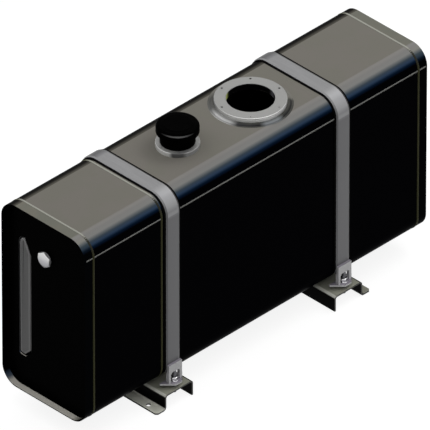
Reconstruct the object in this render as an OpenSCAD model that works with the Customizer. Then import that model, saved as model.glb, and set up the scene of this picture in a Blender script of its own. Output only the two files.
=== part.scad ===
// Strap-mounted oil tank: a rounded rectangular shell in two welded sections with inset end caps,
// lying on two bracket rails and held down by two straps over rubber liners.
// X runs along the tank, Y across it (the front face looks along -Y) and Z up.
// The origin is on the ground, at the centre of the four base bolts.

/* [Tank] */
// Length of the tank over its end caps
tank_l = 1310; // [1200:10:1600]
// Width of the tank
tank_w = 320; // [300:5:400]
// Height of the tank
tank_h = 600; // [590:5:700]
// Radius of the four long corners
corner_r = 54; // [48:1:58]
// Thickness of the sheet
sheet_t = 3; // [2:0.5:4]
// Depth of each end cap's skirt
cap_depth = 33; // [32:1:45]
// Depth of the end plate behind the rim of an end cap
cap_recess = 22; // [15:1:24]
// Rounding between the rim and the end plate
cap_fillet_r = 4; // [2:0.5:8]
// Distance of the middle weld from the left end
mid_weld_at = 291; // [285:1:292]
// Width of a weld bead
bead_w = 8; // [4:0.5:10]
// Height of a weld bead above the sheet
bead_h = 1; // [0.5:0.1:1.4]

/* [Gauge pocket and plug] */
// Distance of the pocket's centre line behind the tank's middle
pocket_y = 93.5; // [60:0.5:96]
// Width of the pocket
pocket_w = 50; // [40:1:54]
// Lowest point of the pocket above the tank's underside
pocket_low = 99; // [90:0.5:160]
// Highest point of the pocket above the tank's underside
pocket_high = 493; // [480:1:524]
// Drop of the slanted edge at the pocket's top
pocket_slant = 50; // [30:1:60]
// Width and height of the slanted edge at the pocket's bottom
pocket_cut = 23; // [15:1:30]
// Rounding of the pocket's lower back corner
pocket_heel = 14; // [10:1:20]
// Depth of the pocket
pocket_depth = 22; // [15:1:28]
// Gap between the level gauge and the pocket's edge
gauge_gap = 6; // [3:0.5:8]
// Distance of the plug behind the tank's middle
plug_y = 12; // [0:1:20]
// Height of the plug above the tank's underside
plug_h = 462; // [450:1:510]
// Diameter of the plug's boss
boss_d = 42; // [40:1:54]
// Height of the boss above the end cap
boss_t = 2; // [1:0.5:8]
// Width of the plug's hexagon across its flats
plug_flats = 43; // [36:1:46]
// Height of the plug's hexagon
plug_head = 10; // [8:1:14]
// Diameter of the plug's shank
plug_shank_d = 28; // [20:1:28]

/* [Filter flange] */
// Distance of the flange's centre from the tank's middle
flange_x = 135; // [125:1:150]
// Outer diameter of the flange
flange_d = 200; // [190:1:210]
// Diameter of the opening through the flange
flange_bore_d = 134; // [120:1:140]
// Diameter of the circle of bolt holes
flange_pcd = 180; // [168:1:182]
// Diameter of each bolt hole
flange_hole_d = 7; // [6:0.5:9]
// Height of the flange's top above the tank
flange_h = 18; // [14:1:24]
// Thickness of the flange's upper plate
flange_t = 4; // [3:0.5:8]
// Outer diameter of the weld ring under the flange
flange_weld_d = 222; // [214:1:230]

/* [Filler] */
// Distance of the filler's centre from the tank's middle
filler_x = -144; // [-155:1:-130]
// Outer diameter of the neck ring
neck_d = 122.5; // [112:0.5:130]
// Height of the neck ring above the tank
neck_h = 13; // [10:1:18]
// Outer diameter of the filler tube under the neck ring
neck_tube_d = 76; // [60:1:84]
// Diameter of the cap's body
cap_body_d = 98; // [92:1:104]
// Diameter of the cap's crown
crown_d = 120; // [112:1:124]
// Height of the crown's lower edge above the tank
crown_low = 42; // [36:1:48]
// Height of the crown's top above the tank
crown_top = 73; // [66:1:80]

/* [Straps] */
// Distance of each strap's centre from the tank's middle
strap_x = 326; // [322:1:328]
// Width of a strap
strap_w = 50; // [40:1:52]
// Thickness of a strap
strap_t = 3; // [2:0.5:4]
// Width of the rubber liner under a strap
liner_w = 61; // [54:1:64]
// Thickness of the liner
liner_t = 3; // [2:0.5:4]
// Height above the tank's underside at which the doubled strap end starts
shoe_top = 56; // [54:1:70]
// Thickness of the doubled strap end, outside the strap
shoe_t = 8; // [6:0.5:10]
// Height of the top of the slot for the stud
slot_top = 30; // [26:1:40]
// Width of that slot
slot_w = 34; // [30:1:36]
// Width of the foot plate at its back edge
foot_w = 84; // [76:1:90]
// Reach of the foot plate's back edge under the tank
foot_under = 6; // [6:1:20]
// Cut of the foot plate's two front corners
foot_cut = 30; // [20:1:32]
// Thickness of the foot plate
foot_t = 5; // [4:0.5:6]
// Depth of the foot plate's top below the tank's underside
foot_drop = 2; // [1:0.5:4]
// Diameter of the studs
stud_d = 12; // [10:1:12]
// Width of a nut across its flats
nut_flats = 19; // [17:1:19]
// Height of a nut
nut_h = 10; // [8:1:11]

/* [Rails] */
// Height of a bracket rail
rail_h = 50; // [45:1:60]
// Width of a rail over its two webs
rail_w = 107; // [104:1:110]
// Reach of a rail past the tank's front and back
rail_over = 27.5; // [27:0.5:34]
// Thickness of the rail's plate
rail_t = 5; // [3:0.5:6]
// Outer radius of the rail's bends
bend_r = 11; // [8:0.5:12]
// Width of the bottom flange outside the web
rail_flange_w = 32.5; // [30:0.5:45]
// Cut of the bottom flange's corners
flange_cut = 6; // [2:1:16]
// Distance of the base bolts from the tank's middle
base_bolt_x = 396; // [392:1:400]
// Distance between the two base bolts of a rail
base_bolt_gap = 280; // [260:5:300]
// Diameter of the base bolt holes
base_hole_d = 13; // [11:1:14]
// Thickness of the rubber pad between a rail and the tank
pad_t = 20; // [18:1:24]
// Length of the pad along the tank
pad_w = 80; // [60:5:90]

/* [Hidden] */
$fn = 64;
fit_gap = 0.5;              // slack of a stud in its holes
tank_z = rail_h + pad_t;    // underside of the tank
top_z = tank_z + tank_h;    // top of the tank
mid_z = tank_z + tank_h / 2;
end_x = tank_l / 2;
skirt_x = end_x - cap_depth;
plate_x = end_x - cap_recess; // outer face of the end plates
seam_stop = 6;              // distance of the long seams' ends from the end caps' rims
mid_weld_x = mid_weld_at - end_x;
front_y = -tank_w / 2;
seam_z = top_z - corner_r;  // long seams, where the side meets the round corner
strap_out = liner_t + strap_t;
shoe_out = strap_out + shoe_t;
rail_l = tank_w + 2 * rail_over;
stud_out = (liner_t + shoe_out) / 2 + fit_gap; // how far a stud stands in front of the tank
foot_top_z = tank_z - foot_drop;
stud_low = rail_h - rail_t - nut_h - 6;     // lower end of a stud, below its lock nut
washer_t = 2.5;
washer_d = 24;
plug_reach = 15;            // reach of the plug's shank into the tank
joint_t = 1;                // groove between the flange's upper plate and its base ring
joint_in = 2;               // depth of that groove
flare_h = 5;                // height of the weld ring round the flange
neck_depth = 15;            // reach of the filler tube into the tank
neck_chamfer = 3;
crown_rim_r = 6;            // rounding of the crown's upper edge
liner_overlap = 12;         // reach of the liner below the start of the doubled strap end
hex_corners = 2 / sqrt(3);  // a hexagon's width over its corners, for 1 across its flats

// Extrudes a flat shape, drawn in Y and Z, along X from x0 over a length
module along_x(x0, length) {
    translate([x0, 0, 0]) rotate([90, 0, 90]) linear_extrude(length) children();
}

// Rectangle with round corners, centred
module round_rect(w, h, r) {
    square([w - 2 * r, h], center = true);
    square([w, h - 2 * r], center = true);
    for (x = [-1, 1], y = [-1, 1])
        translate([x * (w / 2 - r), y * (h / 2 - r)]) circle(r);
}

// Cross-section of the tank, grown outwards by g
module section(g = 0) {
    translate([0, mid_z]) round_rect(tank_w + 2 * g, tank_h + 2 * g, corner_r + g);
}

// Ring between two grown cross-sections
module section_ring(g_out, g_in) {
    difference() {
        section(g_out);
        section(g_in);
    }
}

// Openings through the tank's top for the filter flange and the filler
module top_openings() {
    translate([flange_x, 0, top_z - 2 * sheet_t]) cylinder(d = flange_bore_d, h = 4 * sheet_t);
    translate([filler_x, 0, top_z - 2 * sheet_t]) cylinder(d = neck_tube_d, h = 4 * sheet_t);
}

module shell_left() {
    color("#1a1a1c") along_x(-skirt_x, mid_weld_x + skirt_x) section_ring(0, -sheet_t);
}

module shell_right() {
    color("#1a1a1c") difference() {
        along_x(mid_weld_x, skirt_x - mid_weld_x) section_ring(0, -sheet_t);
        top_openings();
    }
}

// Half of an edge of a pressed tray: height depth, outer edge rounded by r at its top
module edge_profile(width, depth, r) {
    square([width, depth - r]);
    square([width - r, depth]);
    translate([width - r, depth - r]) circle(r);
}

// Tray-shaped solid with round corners of radius corner and a rounded edge of radius r at its top
module tray(w, h, corner, depth, r) {
    inner_w = w - 2 * corner;
    inner_h = h - 2 * corner;
    translate([-inner_w / 2, -inner_h / 2, 0]) cube([inner_w, inner_h, depth]);
    for (turn = [0, 180]) rotate(turn) {
        translate([inner_w / 2, inner_h / 2, 0]) rotate([90, 0, 0])
            linear_extrude(inner_h) edge_profile(corner, depth, r);
        translate([-inner_w / 2, inner_h / 2, 0]) rotate([90, 0, 90])
            linear_extrude(inner_w) edge_profile(corner, depth, r);
        translate([inner_w / 2, inner_h / 2, 0])
            rotate_extrude(angle = 90) edge_profile(corner, depth, r);
        translate([-inner_w / 2, inner_h / 2, 0]) rotate(90)
            rotate_extrude(angle = 90) edge_profile(corner, depth, r);
    }
}

// End cap of the left end: a skirt with the end plate set in behind its rim
module end_cap() {
    inner_h = tank_h - 2 * sheet_t;
    inner_w = tank_w - 2 * sheet_t;
    inner_r = corner_r - sheet_t;
    translate([-skirt_x, 0, mid_z]) rotate([0, -90, 0]) difference() {
        linear_extrude(cap_depth) round_rect(tank_h, tank_w, corner_r);
        translate([0, 0, -1]) linear_extrude(cap_depth - cap_recess - sheet_t + 1)
            round_rect(inner_h, inner_w, inner_r);
        translate([0, 0, cap_depth + 1]) mirror([0, 0, 1])
            tray(inner_h, inner_w, inner_r, cap_recess + 1, cap_fillet_r);
    }
}

// Outline of the gauge pocket in Y and Z, grown by g: slanted at both ends in front, round behind
module pocket_outline(g = 0) {
    half = pocket_w / 2 + g;
    low = tank_z + pocket_low - g;
    cut = pocket_cut + (2 - sqrt(2)) * g;
    heel = pocket_heel + g;
    top_r_z = tank_z + pocket_high - pocket_w / 2;
    slant_z = tank_z + pocket_high - pocket_slant;
    translate([pocket_y, 0]) {
        polygon([
            [-half, low + cut], [cut - half, low], [half - heel, low], [half, low + heel],
            [half, top_r_z], [0, top_r_z + half], [-half, slant_z]
        ]);
        translate([half - heel, low + heel]) circle(heel);
        intersection() {
            translate([0, top_r_z]) circle(half);
            translate([0, top_r_z]) square([half, half]);
        }
    }
}

module end_cap_left() {
    color("#1a1a1c") difference() {
        end_cap();
        along_x(-plate_x - 1, sheet_t + 2) pocket_outline();
        translate([-plate_x - 1, plug_y, tank_z + plug_h]) rotate([0, 90, 0])
            cylinder(d = plug_shank_d + 8, h = sheet_t + 2);
    }
}

module end_cap_right() {
    color("#1a1a1c") mirror([1, 0, 0]) end_cap();
}

module weld_ring(x) {
    color("#3a3a3a") along_x(x - bead_w / 2, bead_w) section_ring(bead_h, 0);
}

// Long seam along one side, in runs between the weld rings and the strap liners and over the end caps
module seam(side) {
    liner_edge = strap_x + liner_w / 2;
    liner_inner = strap_x - liner_w / 2;
    ring = bead_w / 2;
    seam_w = 2 / 3 * bead_w;
    runs = [
        [seam_stop - end_x, -skirt_x - ring],
        [-skirt_x + ring, mid_weld_x - ring],
        [-liner_inner, liner_inner],
        [liner_edge, skirt_x - ring],
        [skirt_x + ring, end_x - seam_stop]
    ];
    color("#3a3a3a") for (run = runs)
        translate([run[0], side > 0 ? -front_y : front_y - bead_h, seam_z - seam_w / 2])
            cube([run[1] - run[0], bead_h, seam_w]);
}

// Trough welded behind the opening in the left end plate
module gauge_pocket() {
    color("#6b6b6d") translate([-plate_x + sheet_t, 0, 0]) difference() {
        along_x(0, pocket_depth) pocket_outline(sheet_t);
        along_x(-1, pocket_depth - sheet_t + 1) pocket_outline();
    }
}

// Body of the level gauge, flush with the end plate
module level_gauge() {
    color("#5a5a5c") along_x(-plate_x, pocket_depth) pocket_outline(-gauge_gap);
}

module plug_boss() {
    color("#a0a0a4") translate([-plate_x, plug_y, tank_z + plug_h]) rotate([0, -90, 0])
        difference() {
            cylinder(d = boss_d, h = boss_t);
            translate([0, 0, -1]) cylinder(d = plug_shank_d, h = boss_t + 2);
        }
}

module level_plug() {
    color("#d8d8da") translate([-plate_x, plug_y, tank_z + plug_h]) rotate([0, -90, 0]) {
        translate([0, 0, boss_t]) cylinder(d = plug_flats * hex_corners, h = plug_head, $fn = 6);
        translate([0, 0, -plug_reach]) cylinder(d = plug_shank_d, h = plug_reach + boss_t);
    }
}

// Base ring and upper plate of the filter flange, with the groove of their joint
module filter_flange() {
    plate_z = flange_h - flange_t;
    color("#9a9a9c") translate([flange_x, 0, top_z]) difference() {
        union() {
            cylinder(d = flange_d, h = plate_z - joint_t);
            cylinder(d = flange_d - 2 * joint_in, h = flange_h);
            translate([0, 0, plate_z]) cylinder(d = flange_d, h = flange_t);
        }
        translate([0, 0, -1]) cylinder(d = flange_bore_d, h = flange_h + 2);
        for (i = [0:5]) rotate(45 + i * 60)
            translate([flange_pcd / 2, 0, -1]) cylinder(d = flange_hole_d, h = flange_h + 2);
    }
}

// Flared ring where the flange meets the tank
module flange_weld() {
    outer = flange_weld_d / 2;
    color("#8a8a8c") translate([flange_x, 0, top_z]) rotate_extrude()
        polygon([
            [flange_d / 2, 0], [outer, 0], [outer, 1.5], [outer - flare_h, flare_h], [flange_d / 2, flare_h]
        ]);
}

// Neck ring on the tank, with a short tube down through the sheet
module filler_neck() {
    outer = neck_d / 2;
    tube = neck_tube_d / 2;
    bore = tube - sheet_t;
    color("#a8a8aa") translate([filler_x, 0, top_z]) rotate_extrude() polygon([
        [bore, -neck_depth], [bore, neck_h], [outer - neck_chamfer, neck_h],
        [outer, neck_h - neck_chamfer], [outer, 0], [tube, 0], [tube, -neck_depth]
    ]);
}

module filler_cap_body() {
    color("#141414") translate([filler_x, 0, top_z + neck_h])
        cylinder(d = cap_body_d, h = crown_low - neck_h);
}

module filler_cap_crown() {
    height = crown_top - crown_low;
    color("#141414") translate([filler_x, 0, top_z + crown_low]) rotate_extrude() {
        square([crown_d / 2 - crown_rim_r, height]);
        square([crown_d / 2, height - crown_rim_r]);
        translate([crown_d / 2 - crown_rim_r, height - crown_rim_r]) circle(crown_rim_r);
    }
}

// Band that hugs the tank's top and both sides, between two offsets, down to z = low
module band(x, width, g_out, g_in, low) {
    along_x(x - width / 2, width) intersection() {
        section_ring(g_out, g_in);
        translate([-tank_w, tank_z + corner_r]) square([2 * tank_w, tank_h]);
    }
    along_x(x - width / 2, width) for (side = [-1, 1])
        translate([side * (tank_w / 2 + (g_out + g_in) / 2) - (g_out - g_in) / 2, low])
            square([g_out - g_in, tank_z + corner_r - low]);
}

module strap(side) {
    color("#8c8c8e") band(side * strap_x, strap_w, strap_out, liner_t, tank_z + slot_top);
}

module liner(side) {
    color("#101010") band(side * strap_x, liner_w, liner_t, 0, tank_z + shoe_top - liner_overlap);
}

// Moves a foot's part, drawn at the front of the tank's middle, to its corner
module at_corner(x_side, y_side) {
    translate([x_side * strap_x, 0, 0]) mirror([0, y_side < 0 ? 0 : 1, 0]) children();
}

// Outline of a foot plate, its front edge flush with the rail's end
module foot_outline() {
    half = foot_w / 2;
    polygon([
        [-half, foot_under], [-half, foot_cut - rail_over], [foot_cut - half, -rail_over],
        [half - foot_cut, -rail_over], [half, foot_cut - rail_over], [half, foot_under]
    ]);
}

// Doubled end of a strap: a block over the strap, two legs beside the stud, and a foot plate
module shoe(x_side, y_side) {
    color("#9c9c9e") at_corner(x_side, y_side) {
        translate([-strap_w / 2, front_y - shoe_out, tank_z + slot_top])
            cube([strap_w, shoe_t, shoe_top - slot_top]);
        for (leg = [-1, 1])
            translate([leg > 0 ? slot_w / 2 : -strap_w / 2, front_y - shoe_out, foot_top_z])
                cube([(strap_w - slot_w) / 2, shoe_out - liner_t, tank_z + slot_top - foot_top_z]);
        difference() {
            translate([0, front_y, foot_top_z - foot_t]) linear_extrude(foot_t) foot_outline();
            translate([0, front_y - stud_out, foot_top_z - foot_t - 1])
                cylinder(d = stud_d + 2 * fit_gap, h = foot_t + 2);
        }
    }
}

module stud(x_side, y_side) {
    color("#d0d0d2") at_corner(x_side, y_side) translate([0, front_y - stud_out, stud_low])
        cylinder(d = stud_d, h = tank_z + slot_top - 2 - stud_low);
}

// Nut and washer on top of a foot plate
module nut(x_side, y_side) {
    color("#dcdcde") at_corner(x_side, y_side)
        translate([0, front_y - stud_out, foot_top_z]) difference() {
            union() {
                cylinder(d = washer_d, h = washer_t);
                translate([0, 0, washer_t]) rotate(15)
                    cylinder(d = nut_flats * hex_corners, h = nut_h, $fn = 6);
            }
            translate([0, 0, -1]) cylinder(d = stud_d, h = nut_h + washer_t + 2);
        }
}

// Nut under the rail's top
module lock_nut(x_side, y_side) {
    color("#dcdcde") at_corner(x_side, y_side)
        translate([0, front_y - stud_out, rail_h - rail_t - nut_h]) difference() {
            cylinder(d = nut_flats * hex_corners, h = nut_h, $fn = 6);
            translate([0, 0, -1]) cylinder(d = stud_d, h = nut_h + 2);
        }
}

// Cross-section of the left rail in X and Z: a bent top, two webs and a flange on the outside
module rail_section() {
    half = rail_w / 2;
    inner_r = bend_r - rail_t;
    difference() {
        union() {
            translate([-half, 0]) square([rail_w, rail_h - bend_r]);
            translate([-half + bend_r, 0]) square([rail_w - 2 * bend_r, rail_h]);
            for (x = [-1, 1]) translate([x * (half - bend_r), rail_h - bend_r]) circle(bend_r);
        }
        translate([-half + rail_t, -1]) square([rail_w - 2 * rail_t, rail_h - bend_r + 1]);
        translate([-half + bend_r, -1]) square([rail_w - 2 * bend_r, rail_h - rail_t + 1]);
        for (x = [-1, 1]) translate([x * (half - bend_r), rail_h - bend_r]) circle(inner_r);
    }
    translate([-half - rail_flange_w, 0]) square([rail_flange_w + rail_t, rail_t]);
    difference() {
        translate([-half - inner_r, rail_t]) square(inner_r);
        translate([-half - inner_r, rail_t + inner_r]) circle(inner_r);
    }
}

module left_rail() {
    hole_x = base_bolt_x - strap_x;
    edge_x = -rail_w / 2 - rail_flange_w;
    translate([-strap_x, 0, 0]) difference() {
        rotate([90, 0, 0]) linear_extrude(rail_l, center = true) rail_section();
        for (side = [-1, 1]) {
            translate([-hole_x, side * base_bolt_gap / 2, -1]) cylinder(d = base_hole_d, h = rail_t + 2);
            translate([0, side * (tank_w / 2 + stud_out), rail_h - rail_t - 1])
                cylinder(d = stud_d + 2 * fit_gap, h = rail_t + 2);
            translate([edge_x, side * rail_l / 2, -1]) rotate(45)
                cube([flange_cut * sqrt(2), flange_cut * sqrt(2), 2 * rail_t + 4], center = true);
        }
    }
}

module rail(side) {
    color("#1a1a1c") mirror([side > 0 ? 1 : 0, 0, 0]) left_rail();
}

module pad(side) {
    flat = tank_w - 2 * corner_r;
    color("#101010") translate([side * strap_x - pad_w / 2, -flat / 2, rail_h]) cube([pad_w, flat, pad_t]);
}

shell_left();
shell_right();
end_cap_left();
end_cap_right();
weld_ring(-skirt_x);  // cap_weld_left
weld_ring(mid_weld_x);  // middle_weld
weld_ring(skirt_x);  // cap_weld_right
seam(-1);  // seam_front
seam(1);  // seam_back
gauge_pocket();
level_gauge();
plug_boss();
level_plug();
filter_flange();
flange_weld();
filler_neck();
filler_cap_body();
filler_cap_crown();

for (x_side = [-1, 1]) {
    x_name = x_side < 0 ? "left" : "right";
    strap(x_side);
    liner(x_side);
    rail(x_side);
    pad(x_side);
    for (y_side = [-1, 1]) {
        corner = str(y_side < 0 ? "front_" : "back_", x_name);
        shoe(x_side, y_side);
        stud(x_side, y_side);
        nut(x_side, y_side);
        lock_nut(x_side, y_side);
    }
}
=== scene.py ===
"""Looks of a strap-mounted oil tank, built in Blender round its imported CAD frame.

The tank's shells, end caps and gauge pocket keep their CAD meshes and get new finishes. Every weld, strap,
liner, fitting, foot and rail is modelled again here with the detail of the real part, in the place that the
frame gives, and stands in for its CAD node. Lengths are in metres; MM turns millimetres into metres.
"""

import logging
import math
from dataclasses import dataclass, field
from enum import Enum
from typing import Callable, Sequence

import bmesh
import bpy
from mathutils import Matrix, Vector


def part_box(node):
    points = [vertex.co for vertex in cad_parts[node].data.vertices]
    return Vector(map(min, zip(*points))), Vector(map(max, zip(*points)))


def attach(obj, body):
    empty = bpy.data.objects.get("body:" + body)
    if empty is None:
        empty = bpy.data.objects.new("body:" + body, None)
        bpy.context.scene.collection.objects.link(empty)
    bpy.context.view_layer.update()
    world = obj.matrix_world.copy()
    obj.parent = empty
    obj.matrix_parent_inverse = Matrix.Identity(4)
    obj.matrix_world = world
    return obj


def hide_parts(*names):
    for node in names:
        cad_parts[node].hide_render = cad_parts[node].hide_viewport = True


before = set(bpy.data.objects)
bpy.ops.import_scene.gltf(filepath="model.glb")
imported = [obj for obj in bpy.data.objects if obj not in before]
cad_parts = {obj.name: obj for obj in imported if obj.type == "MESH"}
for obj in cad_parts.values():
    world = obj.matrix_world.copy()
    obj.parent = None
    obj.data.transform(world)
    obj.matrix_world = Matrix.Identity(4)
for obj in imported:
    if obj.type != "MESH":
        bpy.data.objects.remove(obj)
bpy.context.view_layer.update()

MM = 0.001
SHARP = 35.0  # angle in degrees over which an edge is shaded sharp, or softened with a bevel
SPARE = 1 * MM  # how far a cutter stands out of what it cuts, and how far joined solids overlap
CLOSE = 0.1 * MM  # distance under which a point counts as lying on a surface
LOG = logging.getLogger("tank")

Ring = list[Vector]
Outline = list[tuple[float, float]]
ShadeByAngle = tuple[tuple[float, str], ...]


# ---------------------------------------------------------------------------------------------------------
# Finishes
# ---------------------------------------------------------------------------------------------------------

# A Mix node has several sockets of one name: these are the numbers of its two colours and of their mix.
FIRST, SECOND, MIXED = 6, 7, 2
# Finer layers in every noise.
DETAIL = 2.0
# Noise between which a patch fades in, a little to either side of its middle.
PATCH_EDGE = (0.42, 0.58)
# How much a grain's roughness varies, as a share.
ROUGH_SPREAD = 0.15
# How far up the normal points between which a stretch comes to count as level.
LEVEL = (0.9988, 0.9998)
# How far up the normal points between which a turned face comes to count as a side.
UPRIGHT = (0.95, 0.8)


def linear(colour: str) -> tuple[float, float, float, float]:
    """Turns an sRGB colour into the linear one that Blender's sockets hold.

    Args:
        colour: the colour as "#rrggbb".

    Returns:
        Linear red, green and blue, and an alpha of 1.
    """
    channels = [int(colour[i:i + 2], 16) / 255 for i in (1, 3, 5)]
    red, green, blue = (c / 12.92 if c <= 0.04045 else ((c + 0.055) / 1.055) ** 2.4 for c in channels)
    return red, green, blue, 1.0


def add_node(tree: bpy.types.NodeTree, kind: str, inputs: dict | None = None, **settings) -> bpy.types.Node:
    """Adds one shader node, with its settings and what feeds it.

    Args:
        tree: the node tree that takes the node.
        kind: the node's type, without the leading "ShaderNode".
        inputs: a value or another node's output for each named or numbered input.
        settings: the node's own properties.

    Returns:
        The new node.
    """
    made = tree.nodes.new("ShaderNode" + kind)
    for name, value in settings.items():
        setattr(made, name, value)
    for name, value in (inputs or {}).items():
        if isinstance(value, bpy.types.NodeSocket):
            tree.links.new(value, made.inputs[name])
        else:
            made.inputs[name].default_value = value
    return made


def by_angle(tree: bpy.types.NodeTree, angle: bpy.types.NodeSocket, film: ShadeByAngle) -> bpy.types.NodeSocket:
    """Gives the painted colour at each angle.

    Args:
        tree: the material's node tree.
        angle: the angle, in radians.
        shading: the painted colour at a few angles, in degrees and rising.

    Returns:
        The colour.
    """
    low, high = film[0][0], film[-1][0]
    share = add_node(
        tree, "MapRange", {"Value": angle, "From Min": math.radians(low), "From Max": math.radians(high)}
    ).outputs[0]
    ramp = add_node(tree, "ValToRGB", {0: share})
    stops = ramp.color_ramp.elements
    stops[0].color, stops[1].color = linear(film[0][1]), linear(film[-1][1])
    for degrees, colour in film[1:-1]:
        stops.new((degrees - low) / (high - low)).color = linear(colour)
    return ramp.outputs[0]


@dataclass(frozen=True)
class Finish:
    """One real material and how its surface was made.

    Attributes:
        name: the material's name.
        slot: the record's material slot; not used here.
        colour: its main colour.
        roughness: how far it spreads a highlight.
        metallic: 1 for bare metal, 0 for paint, rubber and plastic.
        specular: strength of the gloss, where 0.5 is that of the IOR alone.
        ior: index of refraction, for what isn't bare metal.
    """

    name: str
    slot: str
    colour: str
    roughness: float
    metallic: float = 0.0
    specular: float = 0.5
    ior: float = 1.5

    def material(self) -> bpy.types.Material:
        """Gives the Blender material, which is built the first time it is asked for.

        Returns:
            The material.
        """
        found = bpy.data.materials.get(self.name)
        if found:
            return found
        made = bpy.data.materials.new(self.name)
        made.use_nodes = True
        tree = made.node_tree
        shader = tree.nodes["Principled BSDF"]
        shader.inputs["Base Color"].default_value = linear(self.colour)
        shader.inputs["Roughness"].default_value = self.roughness
        shader.inputs["Metallic"].default_value = self.metallic
        shader.inputs["Specular IOR Level"].default_value = self.specular
        if self.metallic < 1:
            shader.inputs["IOR"].default_value = self.ior
        self.pattern(tree, shader.inputs)
        return made

    def pattern(self, tree: bpy.types.NodeTree, shader: bpy.types.bpy_prop_collection) -> None:
        """Adds the finish's own pattern to the shader's colour, roughness and normal.

        Args:
            tree: the material's node tree.
            shader: the shader's inputs.
        """
        raise NotImplementedError


@dataclass(frozen=True)
class Grained(Finish):
    """A finish with fine grain and soft patches, stretched along one axis where the metal was rolled.

    Attributes:
        second: colour of the patches.
        patch: size of the patches.
        grain: size of the grain, drawn coarser than the real one so that it shows.
        depth: depth of the grain.
        relief: how strongly that depth shows, from 0 to 1.
        stretch: how far grain and patches are drawn out along X, Y and Z.
    """

    second: str = "#808080"
    patch: float = 40 * MM
    grain: float = 2 * MM
    depth: float = 0.1 * MM
    relief: float = 0.5
    stretch: tuple[float, float, float] = (1.0, 1.0, 1.0)

    def coat(self, tree: bpy.types.NodeTree, patches: bpy.types.NodeSocket) -> bpy.types.NodeSocket:
        """Gives the surface's colour.

        Args:
            tree: the material's node tree.
            patches: 1 in a patch and 0 between patches.

        Returns:
            The colour.
        """
        return add_node(
            tree,
            "Mix",
            {"Factor": patches, FIRST: linear(self.colour), SECOND: linear(self.second)},
            data_type="RGBA",
        ).outputs[MIXED]

    def pattern(self, tree: bpy.types.NodeTree, shader: bpy.types.bpy_prop_collection) -> None:
        """Adds the patches and the grain.

        Args:
            tree: the material's node tree.
            shader: the shader's inputs.
        """
        place = add_node(tree, "TexCoord").outputs["Object"]
        drawn = add_node(
            tree, "Mapping", {"Vector": place, "Scale": tuple(1 / s for s in self.stretch)}
        ).outputs[0]
        cloud = add_node(
            tree, "TexNoise", {"Vector": drawn, "Scale": 1 / self.patch, "Detail": DETAIL}
        ).outputs[0]
        patches = add_node(
            tree, "MapRange", {"Value": cloud, "From Min": PATCH_EDGE[0], "From Max": PATCH_EDGE[1]}
        ).outputs[0]
        tree.links.new(self.coat(tree, patches), shader["Base Color"])
        grain = add_node(
            tree, "TexNoise", {"Vector": drawn, "Scale": 1 / self.grain, "Detail": DETAIL}
        ).outputs[0]
        smooth, coarse = (1 - ROUGH_SPREAD) * self.roughness, min(1.0, (1 + ROUGH_SPREAD) * self.roughness)
        rough = add_node(tree, "MapRange", {"Value": grain, "To Min": smooth, "To Max": coarse}).outputs[0]
        tree.links.new(rough, shader["Roughness"])
        bump = add_node(tree, "Bump", {"Height": grain, "Strength": self.relief, "Distance": self.depth})
        tree.links.new(bump.outputs[0], shader["Normal"])


class Lean(Enum):
    """The side towards which a surface leans: the normal's axis that tells it, and the axis across it."""

    FRONT = ("Y", "X")
    LEFT = ("X", "Y")


@dataclass(frozen=True)
class End:
    """The painted light and shade on a stretch that turns across, towards the low or the high side.

    Attributes:
        shading: the painted colour at each lean.
        start: how far the surface turns across where this shading starts to show, as the sine of the angle.
        full: how far it turns across where only this shading shows.
    """

    film: ShadeByAngle
    start: float = 0.35
    full: float = 0.8


@dataclass(frozen=True)
class ShadedByLean(Grained):
    """A finish whose colour is painted by how far the surface leans, as painted reflections, highlights and
    shade.

    Its second colour is that of patches on level stretches.

    Attributes:
        shading: the painted colour at each lean from level towards one side, in degrees.
        lean: that side.
        ends: the painted colour where the surface faces across, first on the low and then on the high side.
    """

    film: ShadeByAngle = ()
    lean: Lean = Lean.FRONT
    ends: tuple[End, ...] = ()

    def shaded_by_lean(self, tree: bpy.types.NodeTree, lean: bpy.types.NodeSocket,
                mottled: bpy.types.NodeSocket) -> bpy.types.NodeSocket:
        """Gives the painted colour by lean, before the surface turns across.

        Args:
            tree: the material's node tree.
            lean: how far the surface leans, in radians.
            mottled: 1 in a patch on a level stretch, else 0.

        Returns:
            The colour.
        """
        film = by_angle(tree, lean, self.film)
        return add_node(
            tree, "Mix", {"Factor": mottled, FIRST: film, SECOND: linear(self.second)}, data_type="RGBA"
        ).outputs[MIXED]

    def coat(self, tree: bpy.types.NodeTree, patches: bpy.types.NodeSocket) -> bpy.types.NodeSocket:
        """Gives the painted colour by lean.

        Args:
            tree: the material's node tree.
            patches: 1 in a patch and 0 between patches.

        Returns:
            The colour.
        """
        toward, across = self.lean.value
        normal = add_node(tree, "NewGeometry").outputs["Normal"]
        axes = add_node(tree, "SeparateXYZ", {0: normal}).outputs
        out = add_node(tree, "Math", {0: axes[toward], 1: -1.0}, operation="MULTIPLY").outputs[0]
        lean = add_node(tree, "Math", {0: out, 1: axes["Z"]}, operation="ARCTAN2").outputs[0]
        level = add_node(
            tree, "MapRange", {"Value": axes["Z"], "From Min": LEVEL[0], "From Max": LEVEL[1]}
        ).outputs[0]
        mottled = add_node(tree, "Math", {0: patches, 1: level}, operation="MULTIPLY").outputs[0]
        colour = self.shaded_by_lean(tree, lean, mottled)
        for side, end in zip((-1.0, 1.0), self.ends):
            turned = add_node(tree, "Math", {0: axes[across], 1: side}, operation="MULTIPLY").outputs[0]
            gone = add_node(
                tree,
                "MapRange",
                {"Value": turned, "From Min": end.start, "From Max": end.full},
                interpolation_type="SMOOTHSTEP",
            ).outputs[0]
            turned_shading = by_angle(tree, lean, end.film)
            colour = add_node(
                tree, "Mix", {"Factor": gone, FIRST: colour, SECOND: turned_shading}, data_type="RGBA"
            ).outputs[MIXED]
        return colour


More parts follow.
